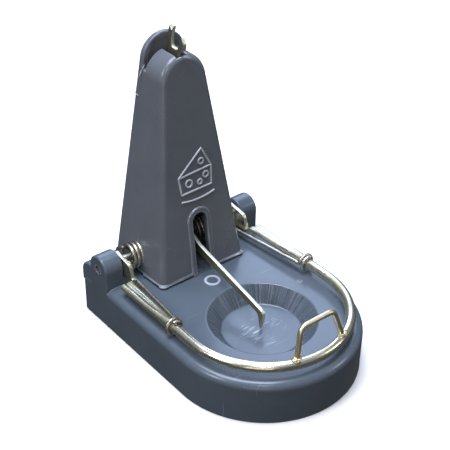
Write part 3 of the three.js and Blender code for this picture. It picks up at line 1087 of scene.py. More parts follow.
def finish(name):
    """One of the trap's materials, made when it is first wanted."""
    found = bpy.data.materials.get(name)
    if found:
        return found
    base = bpy.context.scene.trap.base
    tones = bpy.context.scene.trap.finish
    if name == "Moulded polypropylene, base":
        dish = ((0, ARC_Y, 0), base.dish_floor, base.dish_rim)
        ring = ((*MARK_PLACE, TOP_Z), MARK_RADIUS)
        return moulded_plastic(name, tones.base_light, tones.base_dark, 0.35, dish, ring)
    if name == "Moulded polypropylene, tower":
        return moulded_plastic(name, tones.tower_light, tones.tower_dark, 0.25)
    # The motif's raised lines are painted pale: a painted highlight along them.
    if name == "Moulded polypropylene, motif lines with painted highlight":
        return moulded_plastic(name, tones.rubbed_and_highlight, tones.tower_light, 0.25)
    if name == "Zinc plated pins":
        return plated_wire(name, tones.zinc, linear("#8e8f8e"), 0.3, 4)
    if name == "Zinc plated spring wire":
        return plated_wire(name, tones.zinc, linear("#8a7a55"), 0.2, 5)
    if name == "Yellow passivated wire":
        return plated_wire(name, tones.straw, linear("#b3ae86"), 0.15, 9)
    if name == "Brassy passivated wire":
        return plated_wire(name, tones.brass, linear("#cdb983"), 0.3, 8)
    return stamped_sheet(name, tones.olive, linear("#e4e2d2"))


# ------------------------------------------------------------------ base


def base_outline(base, distance):
    """The base's plan, moved in by a distance: round front, straight sides, small corners."""
    half = HALF_WIDTH - distance
    rear = REAR_Y - distance
    corner = max(base.corner_radius - distance, 0.6 * MM)
    side = [mix(ARC_Y, rear - corner, share) for share in steps(24)]
    back = [mix(half - corner, corner - half, share) for share in steps(36)]
    points = arc(0, ARC_Y, half, 180, 360, 96)[:-1]
    points += [(half, y) for y in side[:-1]]
    points += arc(half - corner, rear - corner, corner, 0, 90, 8)[:-1]
    points += [(x, rear) for x in back[:-1]]
    points += arc(corner - half, rear - corner, corner, 90, 180, 8)[:-1]
    points += [(-half, y) for y in reversed(side[1:])]
    return points


def curve_through(start, corner, end, count=4):
    """Points of a smooth bend from start to end, pulled towards the corner."""
    result = []
    for t in steps(count):
        weights = ((1 - t) ** 2, 2 * t * (1 - t), t * t)
        result.append(
            tuple(
                weights[0] * a + weights[1] * b + weights[2] * c
                for a, b, c in zip(start, corner, end)
            )
        )
    return result


class TRAP_OT_base(bpy.types.Operator):
    """Build the base moulding with its dish, ears and buttresses"""

    bl_idname = "trap.base"
    bl_label = "Base"

    def execute(self, context):
        base = context.scene.trap.base
        around = [math.atan2(y - ARC_Y, x) for x, y in base_outline(base, base.edge_radius)]
        dish_floor_z = TOP_Z - base.dish_depth
        wall = 2 * MM

        def circle(radius, z):
            """A ring round the dish's centre, with the outline's own spacing."""
            return [
                (radius * math.cos(a), ARC_Y + radius * math.sin(a), z) for a in around
            ]

        def level(distance, z):
            """The base's plan at a height, moved in by a distance."""
            return [(x, y, z) for x, y in base_outline(base, distance)]

        rim_round = 0.7 * MM
        slope = Vector((base.dish_floor - base.dish_rim, -base.dish_depth)).normalized()
        rim = (base.dish_rim, TOP_Z)
        foot = (base.dish_floor, dish_floor_z)
        below_rim = (rim[0] + slope.x * rim_round, rim[1] + slope.y * rim_round)
        above_foot = (foot[0] - slope.x * rim_round, foot[1] - slope.y * rim_round)
        bowl = curve_through((rim[0] + rim_round, TOP_Z), rim, below_rim)
        bowl += curve_through(above_foot, foot, (foot[0] - rim_round, dish_floor_z))

        under_z = dish_floor_z - wall
        plate_z = TOP_Z - base.plate
        rings = [[(0, ARC_Y, under_z)]]
        rings += [circle(base.dish_floor * 0.5, under_z)]
        rings += [circle(base.dish_floor + wall * 0.8, under_z)]
        rings += [circle(base.dish_rim + wall * 1.1, plate_z)]
        rings += [level(base.wall + 0.8 * MM, plate_z), level(base.wall, plate_z - 0.8 * MM)]
        rings += [level(base.wall, 0.4 * MM), level(base.wall - 0.4 * MM, 0)]
        rings += [level(0.5 * MM, 0), level(0.15 * MM, 0.15 * MM), level(0, 0.5 * MM)]
        for share in steps(8):
            turn = math.radians(90 * share)
            distance = base.edge_radius * (1 - math.cos(turn))
            z = TOP_Z - base.edge_radius * (1 - math.sin(turn))
            rings.append(level(distance, z))
        rings += [circle(radius, z) for radius, z in bowl]
        rings += [circle(base.dish_floor * share, dish_floor_z) for share in (0.6, 0.3)]
        rings += [[(0, ARC_Y, dish_floor_z)]]
        body = skin("base_moulding", rings)

        tools = []
        low = TOP_Z - base.edge_radius - 1 * MM
        ear = [(AXLE_Y - base.ear_radius, low), (AXLE_Y + base.ear_radius, low)]
        ear += arc(AXLE_Y, AXLE_Z, base.ear_radius, 0, 180, 36)
        start = AXLE_Y + base.ear_radius - 1 * MM
        end = min(start + BUTTRESS_LENGTH, REAR_Y - 0.1 * MM)
        top = TOP_Z + base.buttress_height
        block = [(start, low), (end, low)]
        block += curve_through((end, TOP_Z), (end, top), (start + 1 * MM, top), 14)
        block += [(start, top)]
        for side in (-1, 1):
            outer = side * HALF_WIDTH
            inner = side * (HALF_WIDTH - base.ear_thickness)
            near, far = sorted((outer, inner))
            behind = sorted((outer - side * 0.3 * MM, inner))
            tools.append((pillow("buttress", block, *behind, 0.9 * MM, along_x), "UNION"))
            tools.append((pillow("ear", ear, near, far, 0.8 * MM, along_x), "UNION"))
            bore = arc(AXLE_Y, AXLE_Z, AXLE_RADIUS + GAP, 0, 360, 40)[:-1]
            hole = pillow("bore", bore, near - 1 * MM, far + 1 * MM, 0, along_x)
            tools.append((hole, "DIFFERENCE"))
        for place in SCREWS:
            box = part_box(f"tower_screw_{place}")
            middle = (box[0] + box[1]) / 2
            hole = arc(middle.x, middle.y, SCREW_HOLE_RADIUS, 0, 360, 32)[:-1]
            tools.append((pillow("hole", hole, 0, TOP_Z + 1 * MM, 0, along_z), "DIFFERENCE"))

        # Ejector mark: a low ring behind the dish, and a dot on the right.
        ring = []
        for a in range(0, 360, 10):
            turn = math.radians(a)
            section = arc(MARK_RADIUS, TOP_Z, 0.45 * MM, 0, 360, 10)[:-1]
            ring.append([
                (MARK_PLACE[0] + r * math.cos(turn), MARK_PLACE[1] + r * math.sin(turn), z)
                for r, z in section
            ])
        ring.append(ring[0])
        torus = bmesh.new()
        loops = [[torus.verts.new(p) for p in loop] for loop in ring[:-1]]
        for one, two in zip(loops, loops[1:] + loops[:1]):
            for k in range(len(one)):
                n = (k + 1) % len(one)
                torus.faces.new((one[k], one[n], two[n], two[k]))
        tools.append((object_from("mark", torus), "UNION"))
        dot = arc(*DOT_PLACE, 0.9 * MM, 0, 360, 20)[:-1]
        tools.append(
            (pillow("dot", dot, TOP_Z - 1 * MM, TOP_Z + 0.3 * MM, 0.25 * MM, along_z), "UNION")
        )
        carve(body, tools)
        settle(
            body, "frame", finish("Moulded polypropylene, base"), ["base"]
        )
        return {"FINISHED"}


# ------------------------------------------------------------------ tower

FOOT_FRONT = 19.4 * MM
FOOT_REAR = 0.4 * MM
FOOT_HALF_FRONT = 21.4 * MM
FOOT_HALF_REAR = 23.0 * MM
HEAD_FRONT = 6.7 * MM
HEAD_REAR = 9.4 * MM
HEAD_HALF = 10.7 * MM
PLATE_RISE = 5.6 * MM
PLATE_EDGE = 0.7 * MM  # rounding round the rear plate
PLATE_SUNK = 0.4 * MM  # depth of the recess in the rear plate's front
PLATE_GAP_DEPTH = 7.6 * MM
ROOF_RADIUS = 10.6 * MM
ROOF_THICKNESS = 1.8 * MM
REAR_WALL = 2.6 * MM
ROOF_SLOT_HALF = 2.4 * MM
ROOF_Z = PLATE_TOP_Z - PLATE_RISE
HEAD_Z = ROOF_Z - 8.3 * MM
PLATE_FRONT_Y = AXLE_Y + HEAD_REAR - 3.0 * MM
ROOF_REAR_Y = PLATE_FRONT_Y - 1.6 * MM
POST_RADIUS = 2.9 * MM
POST_HEIGHT = 9.5 * MM
RIB_HALF_HEIGHT = 5.5 * MM


def climb(z):
    """How far up the tower's taper a height is: 0 at the base, 1 at the head."""
    return (z - TOP_Z) / (HEAD_Z - TOP_Z)


def tower_front(z):
    """Where the tower's front face stands at a height."""
    return mix(AXLE_Y - FOOT_FRONT, AXLE_Y - HEAD_FRONT, climb(z))


def tower_rear(z):
    """Where the tower's rear face stands at a height."""
    return mix(REAR_Y - FOOT_REAR, AXLE_Y + HEAD_REAR, climb(z))


def tower_half(z, share):
    """Half the tower's width at a height, share of the way from front to rear."""
    return mix(mix(FOOT_HALF_FRONT, FOOT_HALF_REAR, share), HEAD_HALF, climb(z))


def crown(top, share):
    """Centre height, radius and tilt of the arch that the leaning sides run smoothly into."""
    half = tower_half(top, share)
    lean = (tower_half(top - 1 * MM, share) - half) / MM
    tilt = math.atan(lean)
    radius = math.cos(tilt) * half / (1 - lean * math.cos(tilt))
    return top - radius, radius, math.degrees(tilt)


def tower_block(name, wall, roof, rear_wall, edge, low):
    """The tapering block with an arched roof, moved in by the walls and rounded."""

    def ring(from_front, from_rear, shrink):
        """One section, a distance in from the front face or else from the rear face."""
        share = 0.5
        depth_mid = tower_rear(TOP_Z) - tower_front(TOP_Z)
        if from_front is not None:
            share = from_front / depth_mid
        elif from_rear is not None:
            share = 1 - from_rear / depth_mid
        middle, radius, tilt = crown(ROOF_Z, share)
        heights = [mix(low, middle, part) for part in steps(14)]
        right = [(tower_half(z, share) - wall, z) for z in heights]
        arch = arc(0, middle, radius - roof, tilt, 180 - tilt, 32)
        left = [(-x, z) for x, z in reversed(right)]
        shape = right + arch + left
        if shrink > 1e-9:
            shape = inset(shape, shrink)
        result = []
        for x, z in shape:
            if from_front is not None:
                y = tower_front(z) + from_front
            else:
                y = tower_rear(z) - from_rear
            result.append((x, y, z))
        return result

    quarter = [math.radians(90 * share) for share in steps(6)]
    rings = []
    for turn in quarter:
        s = edge * (1 - math.cos(turn))
        rings.append(ring(wall + s, None, edge * (1 - math.sin(turn))))
    rear_edge = min(edge, 0.9 * MM)
    for turn in reversed(quarter):
        s = rear_edge * (1 - math.cos(turn))
        rings.append(ring(None, rear_wall + s, rear_edge * (1 - math.sin(turn))))
    return skin(name, rings)


def mouth_outline(tower, grow):
    """The arched outline of the mouth slot, widened by grow."""
    half = tower.mouth_half + grow
    shoulder = TOP_Z + tower.mouth_height - tower.mouth_half
    low = TOP_Z - 3 * MM
    side = [mix(low, shoulder, share) for share in steps(8)]
    points = [(half, z) for z in side[:-1]]
    points += arc(0, shoulder, half, 0, 180, 20)
    points += [(-half, z) for z in reversed(side[:-1])]
    return points


class TRAP_OT_tower(bpy.types.Operator):
    """Build the hollow tower with its mouth, windows, roof slot and rear plate"""

    bl_idname = "trap.tower"
    bl_label = "Tower"

    def execute(self, context):
        tower = context.scene.trap.tower
        wires = context.scene.trap.wires
        foot_z = TOWER_BOX[0].z
        low = foot_z - 8 * MM
        body = tower_block("tower_moulding", 0, 0, 0, tower.edge_radius, low)

        def on_front(x, z, depth):
            """A place at a depth behind the leaning front face."""
            return (x, tower_front(z) + depth, z)

        def cutter(name, x0, x1, y0, y1, z0, z1):
            """A plain block between three pairs of limits."""
            corners = [(y0, z0), (y1, z0), (y1, z1), (y0, z1)]
            return pillow(name, corners, x0, x1, 0, along_x)

        def plate_place(x, z, share):
            """A place in the rear plate, share of the way from its front to its rear."""
            y = mix(PLATE_FRONT_Y, tower_rear(z), share)
            return (x, y, z)

        shoulder, radius, tilt = crown(PLATE_TOP_Z, 1)
        arch = arc(0, shoulder, radius, tilt, 180 - tilt, 32)
        plate_low = shoulder - 14 * MM
        plate_half = tower_half(plate_low, 1)
        outline = arch + [(-plate_half, plate_low), (plate_half, plate_low)]
        quarter = [math.radians(90 * share) for share in steps(4)]
        rounded = [(turn, 0.25 * (1 - math.cos(turn))) for turn in quarter]
        sections = rounded + [(turn, 1 - share) for turn, share in reversed(rounded)]
        rings = []
        for turn, share in sections:
            shrink = PLATE_EDGE * (1 - math.sin(turn))
            rings.append([plate_place(x, z, share) for x, z in inset(outline, shrink)])
        plate = skin("rear_plate", rings)
        recess = arc(0, shoulder, 7.9 * MM, 0, 180, 28)
        recess += [(-8.6 * MM, plate_low - 5 * MM), (8.6 * MM, plate_low - 5 * MM)]
        hollow = pillow(
            "hollow", recess, PLATE_FRONT_Y - 1 * MM, PLATE_FRONT_Y + PLATE_SUNK, 0, along_y
        )

        # A low bead runs round the foot, where the tower meets the base.
        def foot_place(u, v, z):
            """A place round the foot: u is -1 to 1 across, v is 0 at the front, 1 at the rear."""
            y = mix(tower_front(z), tower_rear(z), v)
            return (tower_half(z, v) * u, y, z)

        span = tower_rear(foot_z) - tower_front(foot_z)
        cx = tower.edge_radius / FOOT_HALF_FRONT
        cy = tower.edge_radius / span
        rx = 0.9 * MM / FOOT_HALF_REAR
        ry = 0.9 * MM / span
        plan = curve_through((1 - cx, 0), (1, 0), (1, cy), 6)
        plan += curve_through((1, 1 - ry), (1, 1), (1 - rx, 1), 4)
        plan += curve_through((rx - 1, 1), (-1, 1), (-1, 1 - ry), 4)
        plan += curve_through((-1, cy), (-1, 0), (cx - 1, 0), 6)
        rings = []
        profile = ((0.4, 0.0), (0.5, 0.5), (0.8, 0.6), (1.1, 0.5), (1.3, 0.0))
        for rise, grow in profile:
            z = foot_z + rise * MM
            middle = (tower_front(z) + tower_rear(z)) / 2
            ring = []
            for u, v in plan:
                x, y, _ = foot_place(u, v, z)
                out = min(grow * MM, REAR_Y - 0.1 * MM - y) if v > 0.9 else grow * MM
                x += math.copysign(grow * MM, x)
                ring.append((x, y + math.copysign(out, y - middle), z))
            rings.append(ring)
        bead = skin("bead", rings)

        cavity = tower_block(
            "cavity", tower.wall, ROOF_THICKNESS, REAR_WALL, 0.6 * MM, low - 1 * MM
        )
        rim = pillow(
            "rim",
            mouth_outline(tower, tower.rim_width),
            -tower.rim_proud,
            tower.wall * 0.8,
            0.4 * MM,
            on_front,
        )
        slot = pillow("slot", mouth_outline(tower, 0), -3 * MM, tower.wall + 2 * MM, 0, on_front)
        reach = wires.coil_radius + wires.spring_radius
        half = reach + 1 * MM
        top = AXLE_Z + reach + 2.7 * MM
        window = [
            (AXLE_Y - half, low),
            (AXLE_Y + half, low),
            (AXLE_Y + half, top - 4 * MM),
            (AXLE_Y + half - 2 * MM, top),
            (AXLE_Y - half + 2 * MM, top),
            (AXLE_Y - half, top - 2 * MM),
        ]
        window_cut = pillow("window", window, -HALF_WIDTH, HALF_WIDTH, 0, along_x)
        roof_slot = cutter(
            "roof_slot",
            -ROOF_SLOT_HALF,
            ROOF_SLOT_HALF,
            AXLE_Y - HEAD_FRONT + 1.8 * MM,
            PLATE_FRONT_Y,
            ROOF_Z - ROOF_RADIUS,
            PLATE_TOP_Z,
        )
        gap = cutter(
            "gap",
            -HALF_WIDTH,
            HALF_WIDTH,
            ROOF_REAR_Y,
            PLATE_FRONT_Y,
            ROOF_Z - PLATE_GAP_DEPTH,
            PLATE_TOP_Z + 5 * MM,
        )
        foot_cut = cutter(
            "foot", -HALF_WIDTH, HALF_WIDTH, 0, REAR_Y + 20 * MM, -5 * MM, foot_z
        )
        ribs = []
        for side in (-1, 1):
            near, far = sorted((side * 2.4 * MM, side * 4.4 * MM))
            rib = cutter(
                "rib",
                near,
                far,
                tower_front(PIVOT_Z) + 1.2 * MM,
                tower_rear(PIVOT_Z) - 1 * MM,
                PIVOT_Z - RIB_HALF_HEIGHT,
                PIVOT_Z + RIB_HALF_HEIGHT,
            )
            ribs.append((rib, "UNION"))
        bore = arc(AXLE_Y, PIVOT_Z, PIVOT_RADIUS + GAP, 0, 360, 32)[:-1]
        pivot_bore = pillow("bore", bore, -5.5 * MM, 5.5 * MM, 0, along_x)
        posts = []
        for place in SCREWS:
            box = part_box(f"tower_screw_{place}")
            middle = (box[0] + box[1]) / 2
            post = arc(middle.x, middle.y, POST_RADIUS, 0, 360, 32)[:-1]
            hole = arc(middle.x, middle.y, SCREW_HOLE_RADIUS, 0, 360, 24)[:-1]
            high = foot_z + POST_HEIGHT
            posts.append((pillow("post", post, foot_z, high, 0.4 * MM, along_z), "UNION"))
            inside = pillow("hole", hole, low, high - 1.5 * MM, 0, along_z)
            posts.append((inside, "DIFFERENCE"))

        carve(body, [(plate, "UNION"), (rim, "UNION"), (bead, "UNION")])
        carve(body, [(cavity, "DIFFERENCE"), (hollow, "DIFFERENCE")])
        carve(body, [(foot_cut, "DIFFERENCE"), *ribs, *posts])
        carve(
            body,
            [
                (pivot_bore, "DIFFERENCE"),
                (slot, "DIFFERENCE"),
                (window_cut, "DIFFERENCE"),
                (roof_slot, "DIFFERENCE"),
                (gap, "DIFFERENCE"),
            ],
        )
        clean(body)
        soften(body, 0.32 * MM)
        settle(
            body, "frame", finish("Moulded polypropylene, tower"), ["tower"]
        )
        return {"FINISHED"}


class TRAP_OT_motif(bpy.types.Operator):
    """Build the raised cheese motif on the tower's front"""

    bl_idname = "trap.motif"
    bl_label = "Front motif"

    def execute(self, context):
        tower = context.scene.trap.tower
        # Places across the front and up from the ground, in millimetres.
        wedge_tip = (-8.0, 64.5)
        wedge_end = (8.4, 65.5)
        wedge_back = (4.2, 74.0)
        drawings = [
            [wedge_tip, wedge_end, wedge_back, wedge_tip],
            [wedge_tip, (-7.2, 57.0), (7.8, 57.4), wedge_end],
            arc(-3.2, 60.9, 1.5, 0, 360, 24),
            arc(2.2, 60.0, 1.0, 0, 360, 20),
            arc(5.4, 62.3, 1.25, 0, 360, 22),
            arc(3.6, 68.6, 1.2, 0, 360, 22),
            arc(0.4, 86.0, 33.0, 256, 285, 24),
        ]
        lines = []
        for drawing in drawings:
            line = []
            for (x0, z0), (x1, z1) in zip(drawing, drawing[1:]):
                count = max(1, round(math.hypot(x1 - x0, z1 - z0) / 1.2))
                line += [
                    (mix(x0, x1, k / count) * MM, mix(z0, z1, k / count) * MM)
                    for k in range(count)
                ]
            line.append((drawing[-1][0] * MM, drawing[-1][1] * MM))
            lines.append([(x, tower_front(z), z) for x, z in line])
        # The motif's lines take a pale tone, a painted highlight along the raised lines.
        material = finish("Moulded polypropylene, motif lines with painted highlight")
        motif = wire("tower_motif", lines, tower.motif_line, 10, material)
        settle(motif, "frame", material)
        return {"FINISHED"}


# ------------------------------------------------------------------ metal pieces


class TRAP_OT_pins(bpy.types.Operator):
    """Build the axle and the trigger's pivot pin, with chamfered ends"""

    bl_idname = "trap.pins"
    bl_label = "Pins"

    def execute(self, context):
        material = finish("Zinc plated pins")
        for node in ("axle", "trigger_pivot_pin"):
            low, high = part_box(node)
            radius = (high.z - low.z) / 2
            y = (low.y + high.y) / 2
            z = (low.z + high.z) / 2
            chamfer = radius * 0.22
            places = [low.x, low.x + chamfer]
            places += [mix(low.x + chamfer, high.x - chamfer, s) for s in steps(30)[1:-1]]
            places += [high.x - chamfer, high.x]
            thickness = [0.8] + [1.0] * (len(places) - 2) + [0.8]
            line = [(x, y, z) for x in places]
            pin = wire(f"{node}_turned", [line], radius, 32, material, thickness)
            settle(pin, "frame", material, [node])
        return {"FINISHED"}


class TRAP_OT_screws(bpy.types.Operator):
    """Build the four screws that hold the tower from below"""

    bl_idname = "trap.screws"
    bl_label = "Tower screws"

    def execute(self, context):
        material = finish("Zinc plated pins")
        nodes = [f"tower_screw_{place}" for place in SCREWS]
        boxes = [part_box(node) for node in nodes]
        head_height = 1.6 * MM
        low, high = boxes[0]
        points = [
            ((a.x + b.x) / 2, (a.y + b.y) / 2, a.z) for a, b in boxes
        ]
        mesh = bpy.data.meshes.new("screw_places")
        mesh.from_pydata(points, [], [])
        screws = run_tree(
            "tower_screws",
            mesh,
            screw_tree(),
            {
                "Head Radius": (high.x - low.x) / 2,
                "Head Height": head_height,
                "Shank Radius": 1.3 * MM,
                "Shank Length": high.z - low.z,
                "Material": material,
            },
        )
        settle(screws, "frame", material, nodes)
        return {"FINISHED"}


class TRAP_OT_striker(bpy.types.Operator):
    """Build the striker: one bent wire with grooved, flattened arms and eye plates"""

    bl_idname = "trap.striker"
    bl_label = "Striker"

    def execute(self, context):
        base = context.scene.trap.base
        wires = context.scene.trap.wires
        radius = wires.bar_radius
        bar_x = STRIKER_BOX[1].x - radius
        bar_z = STRIKER_BOX[0].z + radius
        arm = [mix(ARM_END_Y, ARC_Y, share) for share in steps(52)]
        line = [(-bar_x, y, bar_z) for y in arm[:-1]]
        line += [(x, y, bar_z) for x, y in arc(0, ARC_Y, bar_x, 180, 360, 110)]
        line += [(bar_x, y, bar_z) for y in reversed(arm[:-1])]
        thickness = rounded_ends(len(line), radius * 0.6, arm[0] - arm[1])
        material = finish("Yellow passivated wire")
        body = wire("striker_wire", [line], radius, 40, material, thickness)

        widest = wires.flat_width / 2 / radius
        for vertex in body.data.vertices:
            place = vertex.co
            share = (place.y - ARM_START_Y) / (ARM_END_Y - ARM_START_Y)
            share = min(max(share, 0.0), 1.0)
            if share == 0.0:
                continue
            side = math.copysign(1, place.x)
            spread = mix(1, widest, share)
            across = (place.x - side * bar_x) * spread
            up = (place.z - bar_z) / spread
            if up > 0:
                ridge = across / (wires.flat_width * 0.16)
                up -= wires.groove * min(share * 2.2, 1) * math.exp(-ridge * ridge)
            place.x = side * (bar_x - ARM_INWARD * share) + across
            place.z = bar_z + up

        thin = radius * radius / (wires.flat_width / 2)
        eye = [(ARM_END_Y - 0.5 * MM, bar_z - thin * 0.6)]
        eye += arc(AXLE_Y, AXLE_Z, EYE_RADIUS, -90, 90, 24)
        bend = curve_through(
            (ARM_END_Y + 2.5 * MM, AXLE_Z + EYE_RADIUS * 0.72),
            (ARM_END_Y + 0.4 * MM, AXLE_Z + 2 * MM),
            (ARM_END_Y, bar_z + thin * 0.8),
            8,
        )
        eye += bend + [(ARM_END_Y - 0.5 * MM, bar_z + thin * 0.6)]
        tools = []
        for side in (-1, 1):
            inner = side * tab_inner(base)
            near, far = sorted((inner, inner + side * TAB_THICKNESS))
            tools.append((pillow("eye", eye, near, far, 0.3 * MM, along_x, 3), "UNION"))
            bore = arc(AXLE_Y, AXLE_Z, AXLE_RADIUS + GAP, 0, 360, 40)[:-1]
            hole = pillow("bore", bore, near - 1 * MM, far + 1 * MM, 0, along_x)
            tools.append((hole, "DIFFERENCE"))
        carve(body, tools)
        settle(body, "striker", material, ["striker_bar"])
        return {"FINISHED"}


def rounded_line(points, radius, spacing):
    """Points along straight runs whose corners are rounded to a radius."""
    corners = [Vector(p) for p in points]
    result = []
    start = corners[0]
    for before, here, after in zip(corners, corners[1:], corners[2:]):
        entry = here + (before - here).normalized() * radius
        leave = here + (after - here).normalized() * radius
        count = max(1, round((entry - start).length / spacing))
        result += [start.lerp(entry, k / count) for k in range(count)]
        result += [Vector(p) for p in curve_through(entry, here, leave, 8)[:-1]]
        start = leave
    count = max(1, round((corners[-1] - start).length / spacing))
    result += [start.lerp(corners[-1], k / count) for k in range(count + 1)]
    return result


LOOP_FEET = (-11.4 * MM, 12.2 * MM)  # across, left and right
LOOP_CORNERS = (-9.1 * MM, 7.1 * MM)
LOOP_RISE = 15.4 * MM
LOOP_LEAN = 3.3 * MM  # how far the crossbar stands behind the bar's front
LOOP_BEND = 2.9 * MM


class TRAP_OT_catch_loop(bpy.types.Operator):
    """Build the catch loop and the weld beads at its feet"""

    bl_idname = "trap.catch_loop"
    bl_label = "Catch loop"

    def execute(self, context):
        wires = context.scene.trap.wires
        bar_radius = wires.bar_radius
        bar_x = STRIKER_BOX[1].x - bar_radius
        bar_z = STRIKER_BOX[0].z + bar_radius
        top_y = ARC_Y - bar_x + LOOP_LEAN
        top_z = bar_z + LOOP_RISE
        feet = []
        for x in LOOP_FEET:
            y = ARC_Y - math.sqrt(bar_x**2 - x**2)
            feet.append(Vector((x, y, bar_z + bar_radius * 0.55)))
        corners = [feet[0], *((x, top_y, top_z) for x in LOOP_CORNERS), feet[1]]
        line = rounded_line(corners, LOOP_BEND, 0.9 * MM)
        material = finish("Brassy passivated wire")
        loop = wire("catch_loop_wire", [line], wires.loop_radius, wires.sides, material)
        settle(loop, "striker", material, ["catch_loop"])

        mesh = bpy.data.meshes.new("bead_places")
        places = [foot + Vector((0, 0, bar_radius * 0.4)) for foot in feet]
        mesh.from_pydata(places, [], [])
        beads = run_tree(
            "weld_beads",
            mesh,
            bead_tree(),
            {
                "Bead Radius": 1.9 * MM,
                "Lump Height": 1.7 * MM,
                "Seed": 4.0,
                "Material": material,
            },
        )
        settle(beads, "striker", material, crease=80)
        return {"FINISHED"}


COIL_INNER_X = 7.7 * MM  # where the innermost turn ends
ANCHOR_LEG = Vector((0, 7.35 * MM, -0.9 * MM))
WRAP_TURNS = 1.3  # turns of each leg round the striker
WRAP_AHEAD = 1.5 * MM  # how far in front of the flattened arm the wrap starts


class TRAP_OT_springs(bpy.types.Operator):
    """Build the two torsion springs: wound parts on the axle, legs on the striker"""

    bl_idname = "trap.springs"
    bl_label = "Springs"

    def execute(self, context):
        base = context.scene.trap.base
        wires = context.scene.trap.wires
        radius = wires.spring_radius
        coil = wires.coil_radius
        bar_x = STRIKER_BOX[1].x - wires.bar_radius
        bar_z = STRIKER_BOX[0].z + wires.bar_radius
        leg_x = tab_inner(base) - GAP * 2 - radius * 2
        start_x = leg_x - radius * 2 - GAP
        turns = round((start_x - COIL_INNER_X) / wires.coil_pitch)
        wrap_radius = wires.bar_radius + radius + GAP * 0.5
        wrap_y = ARM_START_Y - WRAP_AHEAD
        material = finish("Zinc plated spring wire")
        for name, side in (("left", -1), ("right", 1)):
            line = []
            for share in steps(turns * 30):
                angle = -math.pi / 2 - turns * math.tau * share
                line.append((
                    side * mix(start_x, COIL_INNER_X, share),
                    AXLE_Y + coil * math.cos(angle),
                    AXLE_Z + coil * math.sin(angle),
                ))
            last = Vector(line[-1])
            for share in steps(8)[1:]:
                line.append(last + ANCHOR_LEG * share)
            wound = wire(f"spring_wound_{name}", [line], radius, 16, material)
            settle(wound, "frame", material, [f"spring_coil_{name}"])

            line = []
            for share in steps(18):
                angle = math.pi * (-1.5 + share)
                line.append(Vector((
                    side * leg_x,
                    AXLE_Y - coil * math.cos(angle),
                    AXLE_Z + coil * math.sin(angle),
                )))
            start = line.pop()
            past_eye = Vector((
                side * (tab_inner(base) - GAP - radius),
                ARM_END_Y - 1 * MM,
                mix(start.z, bar_z, (AXLE_Y - ARM_END_Y + 1 * MM) / (AXLE_Y - wrap_y)),
            ))
            end = Vector((side * (bar_x - wrap_radius), wrap_y, bar_z))
            line += [start.lerp(past_eye, share) for share in steps(12)[:-1]]
            line += [past_eye.lerp(end, share) for share in steps(26)[:-1]]
            for share in steps(44):
                angle = math.tau * WRAP_TURNS * share
                line.append(Vector((
                    side * (bar_x - wrap_radius * math.cos(angle)),
                    wrap_y - WRAP_TURNS * (radius * 2 + GAP) * share,
                    bar_z + wrap_radius * math.sin(angle),
                )))
            leg = wire(f"spring_hook_{name}", [line], radius, 16, material)
            settle(leg, "striker", material, [f"spring_leg_{name}"])
        return {"FINISHED"}


class TRAP_OT_trigger(bpy.types.Operator):
    """Build the stamped trigger with softened edges"""

    bl_idname = "trap.trigger"
    bl_label = "Trigger"

    def execute(self, context):
        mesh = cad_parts["trigger_plate"].data.copy()
        body = bpy.data.objects.new("trigger_stamping", mesh)
        context.scene.collection.objects.link(body)
        clean(body, 1)
        soften(body, 0.28 * MM, 20, 3)
        material = finish("Stamped steel sheet")
        settle(body, "trigger", material, ["trigger_plate"])
        return {"FINISHED"}


# ------------------------------------------------------------------ stage


def area_light(name, place, aim, width, power, colour):
    """A square soft light that faces a point."""
    data = bpy.data.lights.new(name, "AREA")
    data.shape = "SQUARE"
    data.size = width
    data.energy = power
    data.color = linear(colour)[:3]
    light = bpy.data.objects.new(name, data)
    bpy.context.scene.collection.objects.link(light)
    light.location = place
    towards = Vector(aim) - Vector(place)
    light.rotation_euler = towards.to_track_quat("-Z", "Y").to_euler()


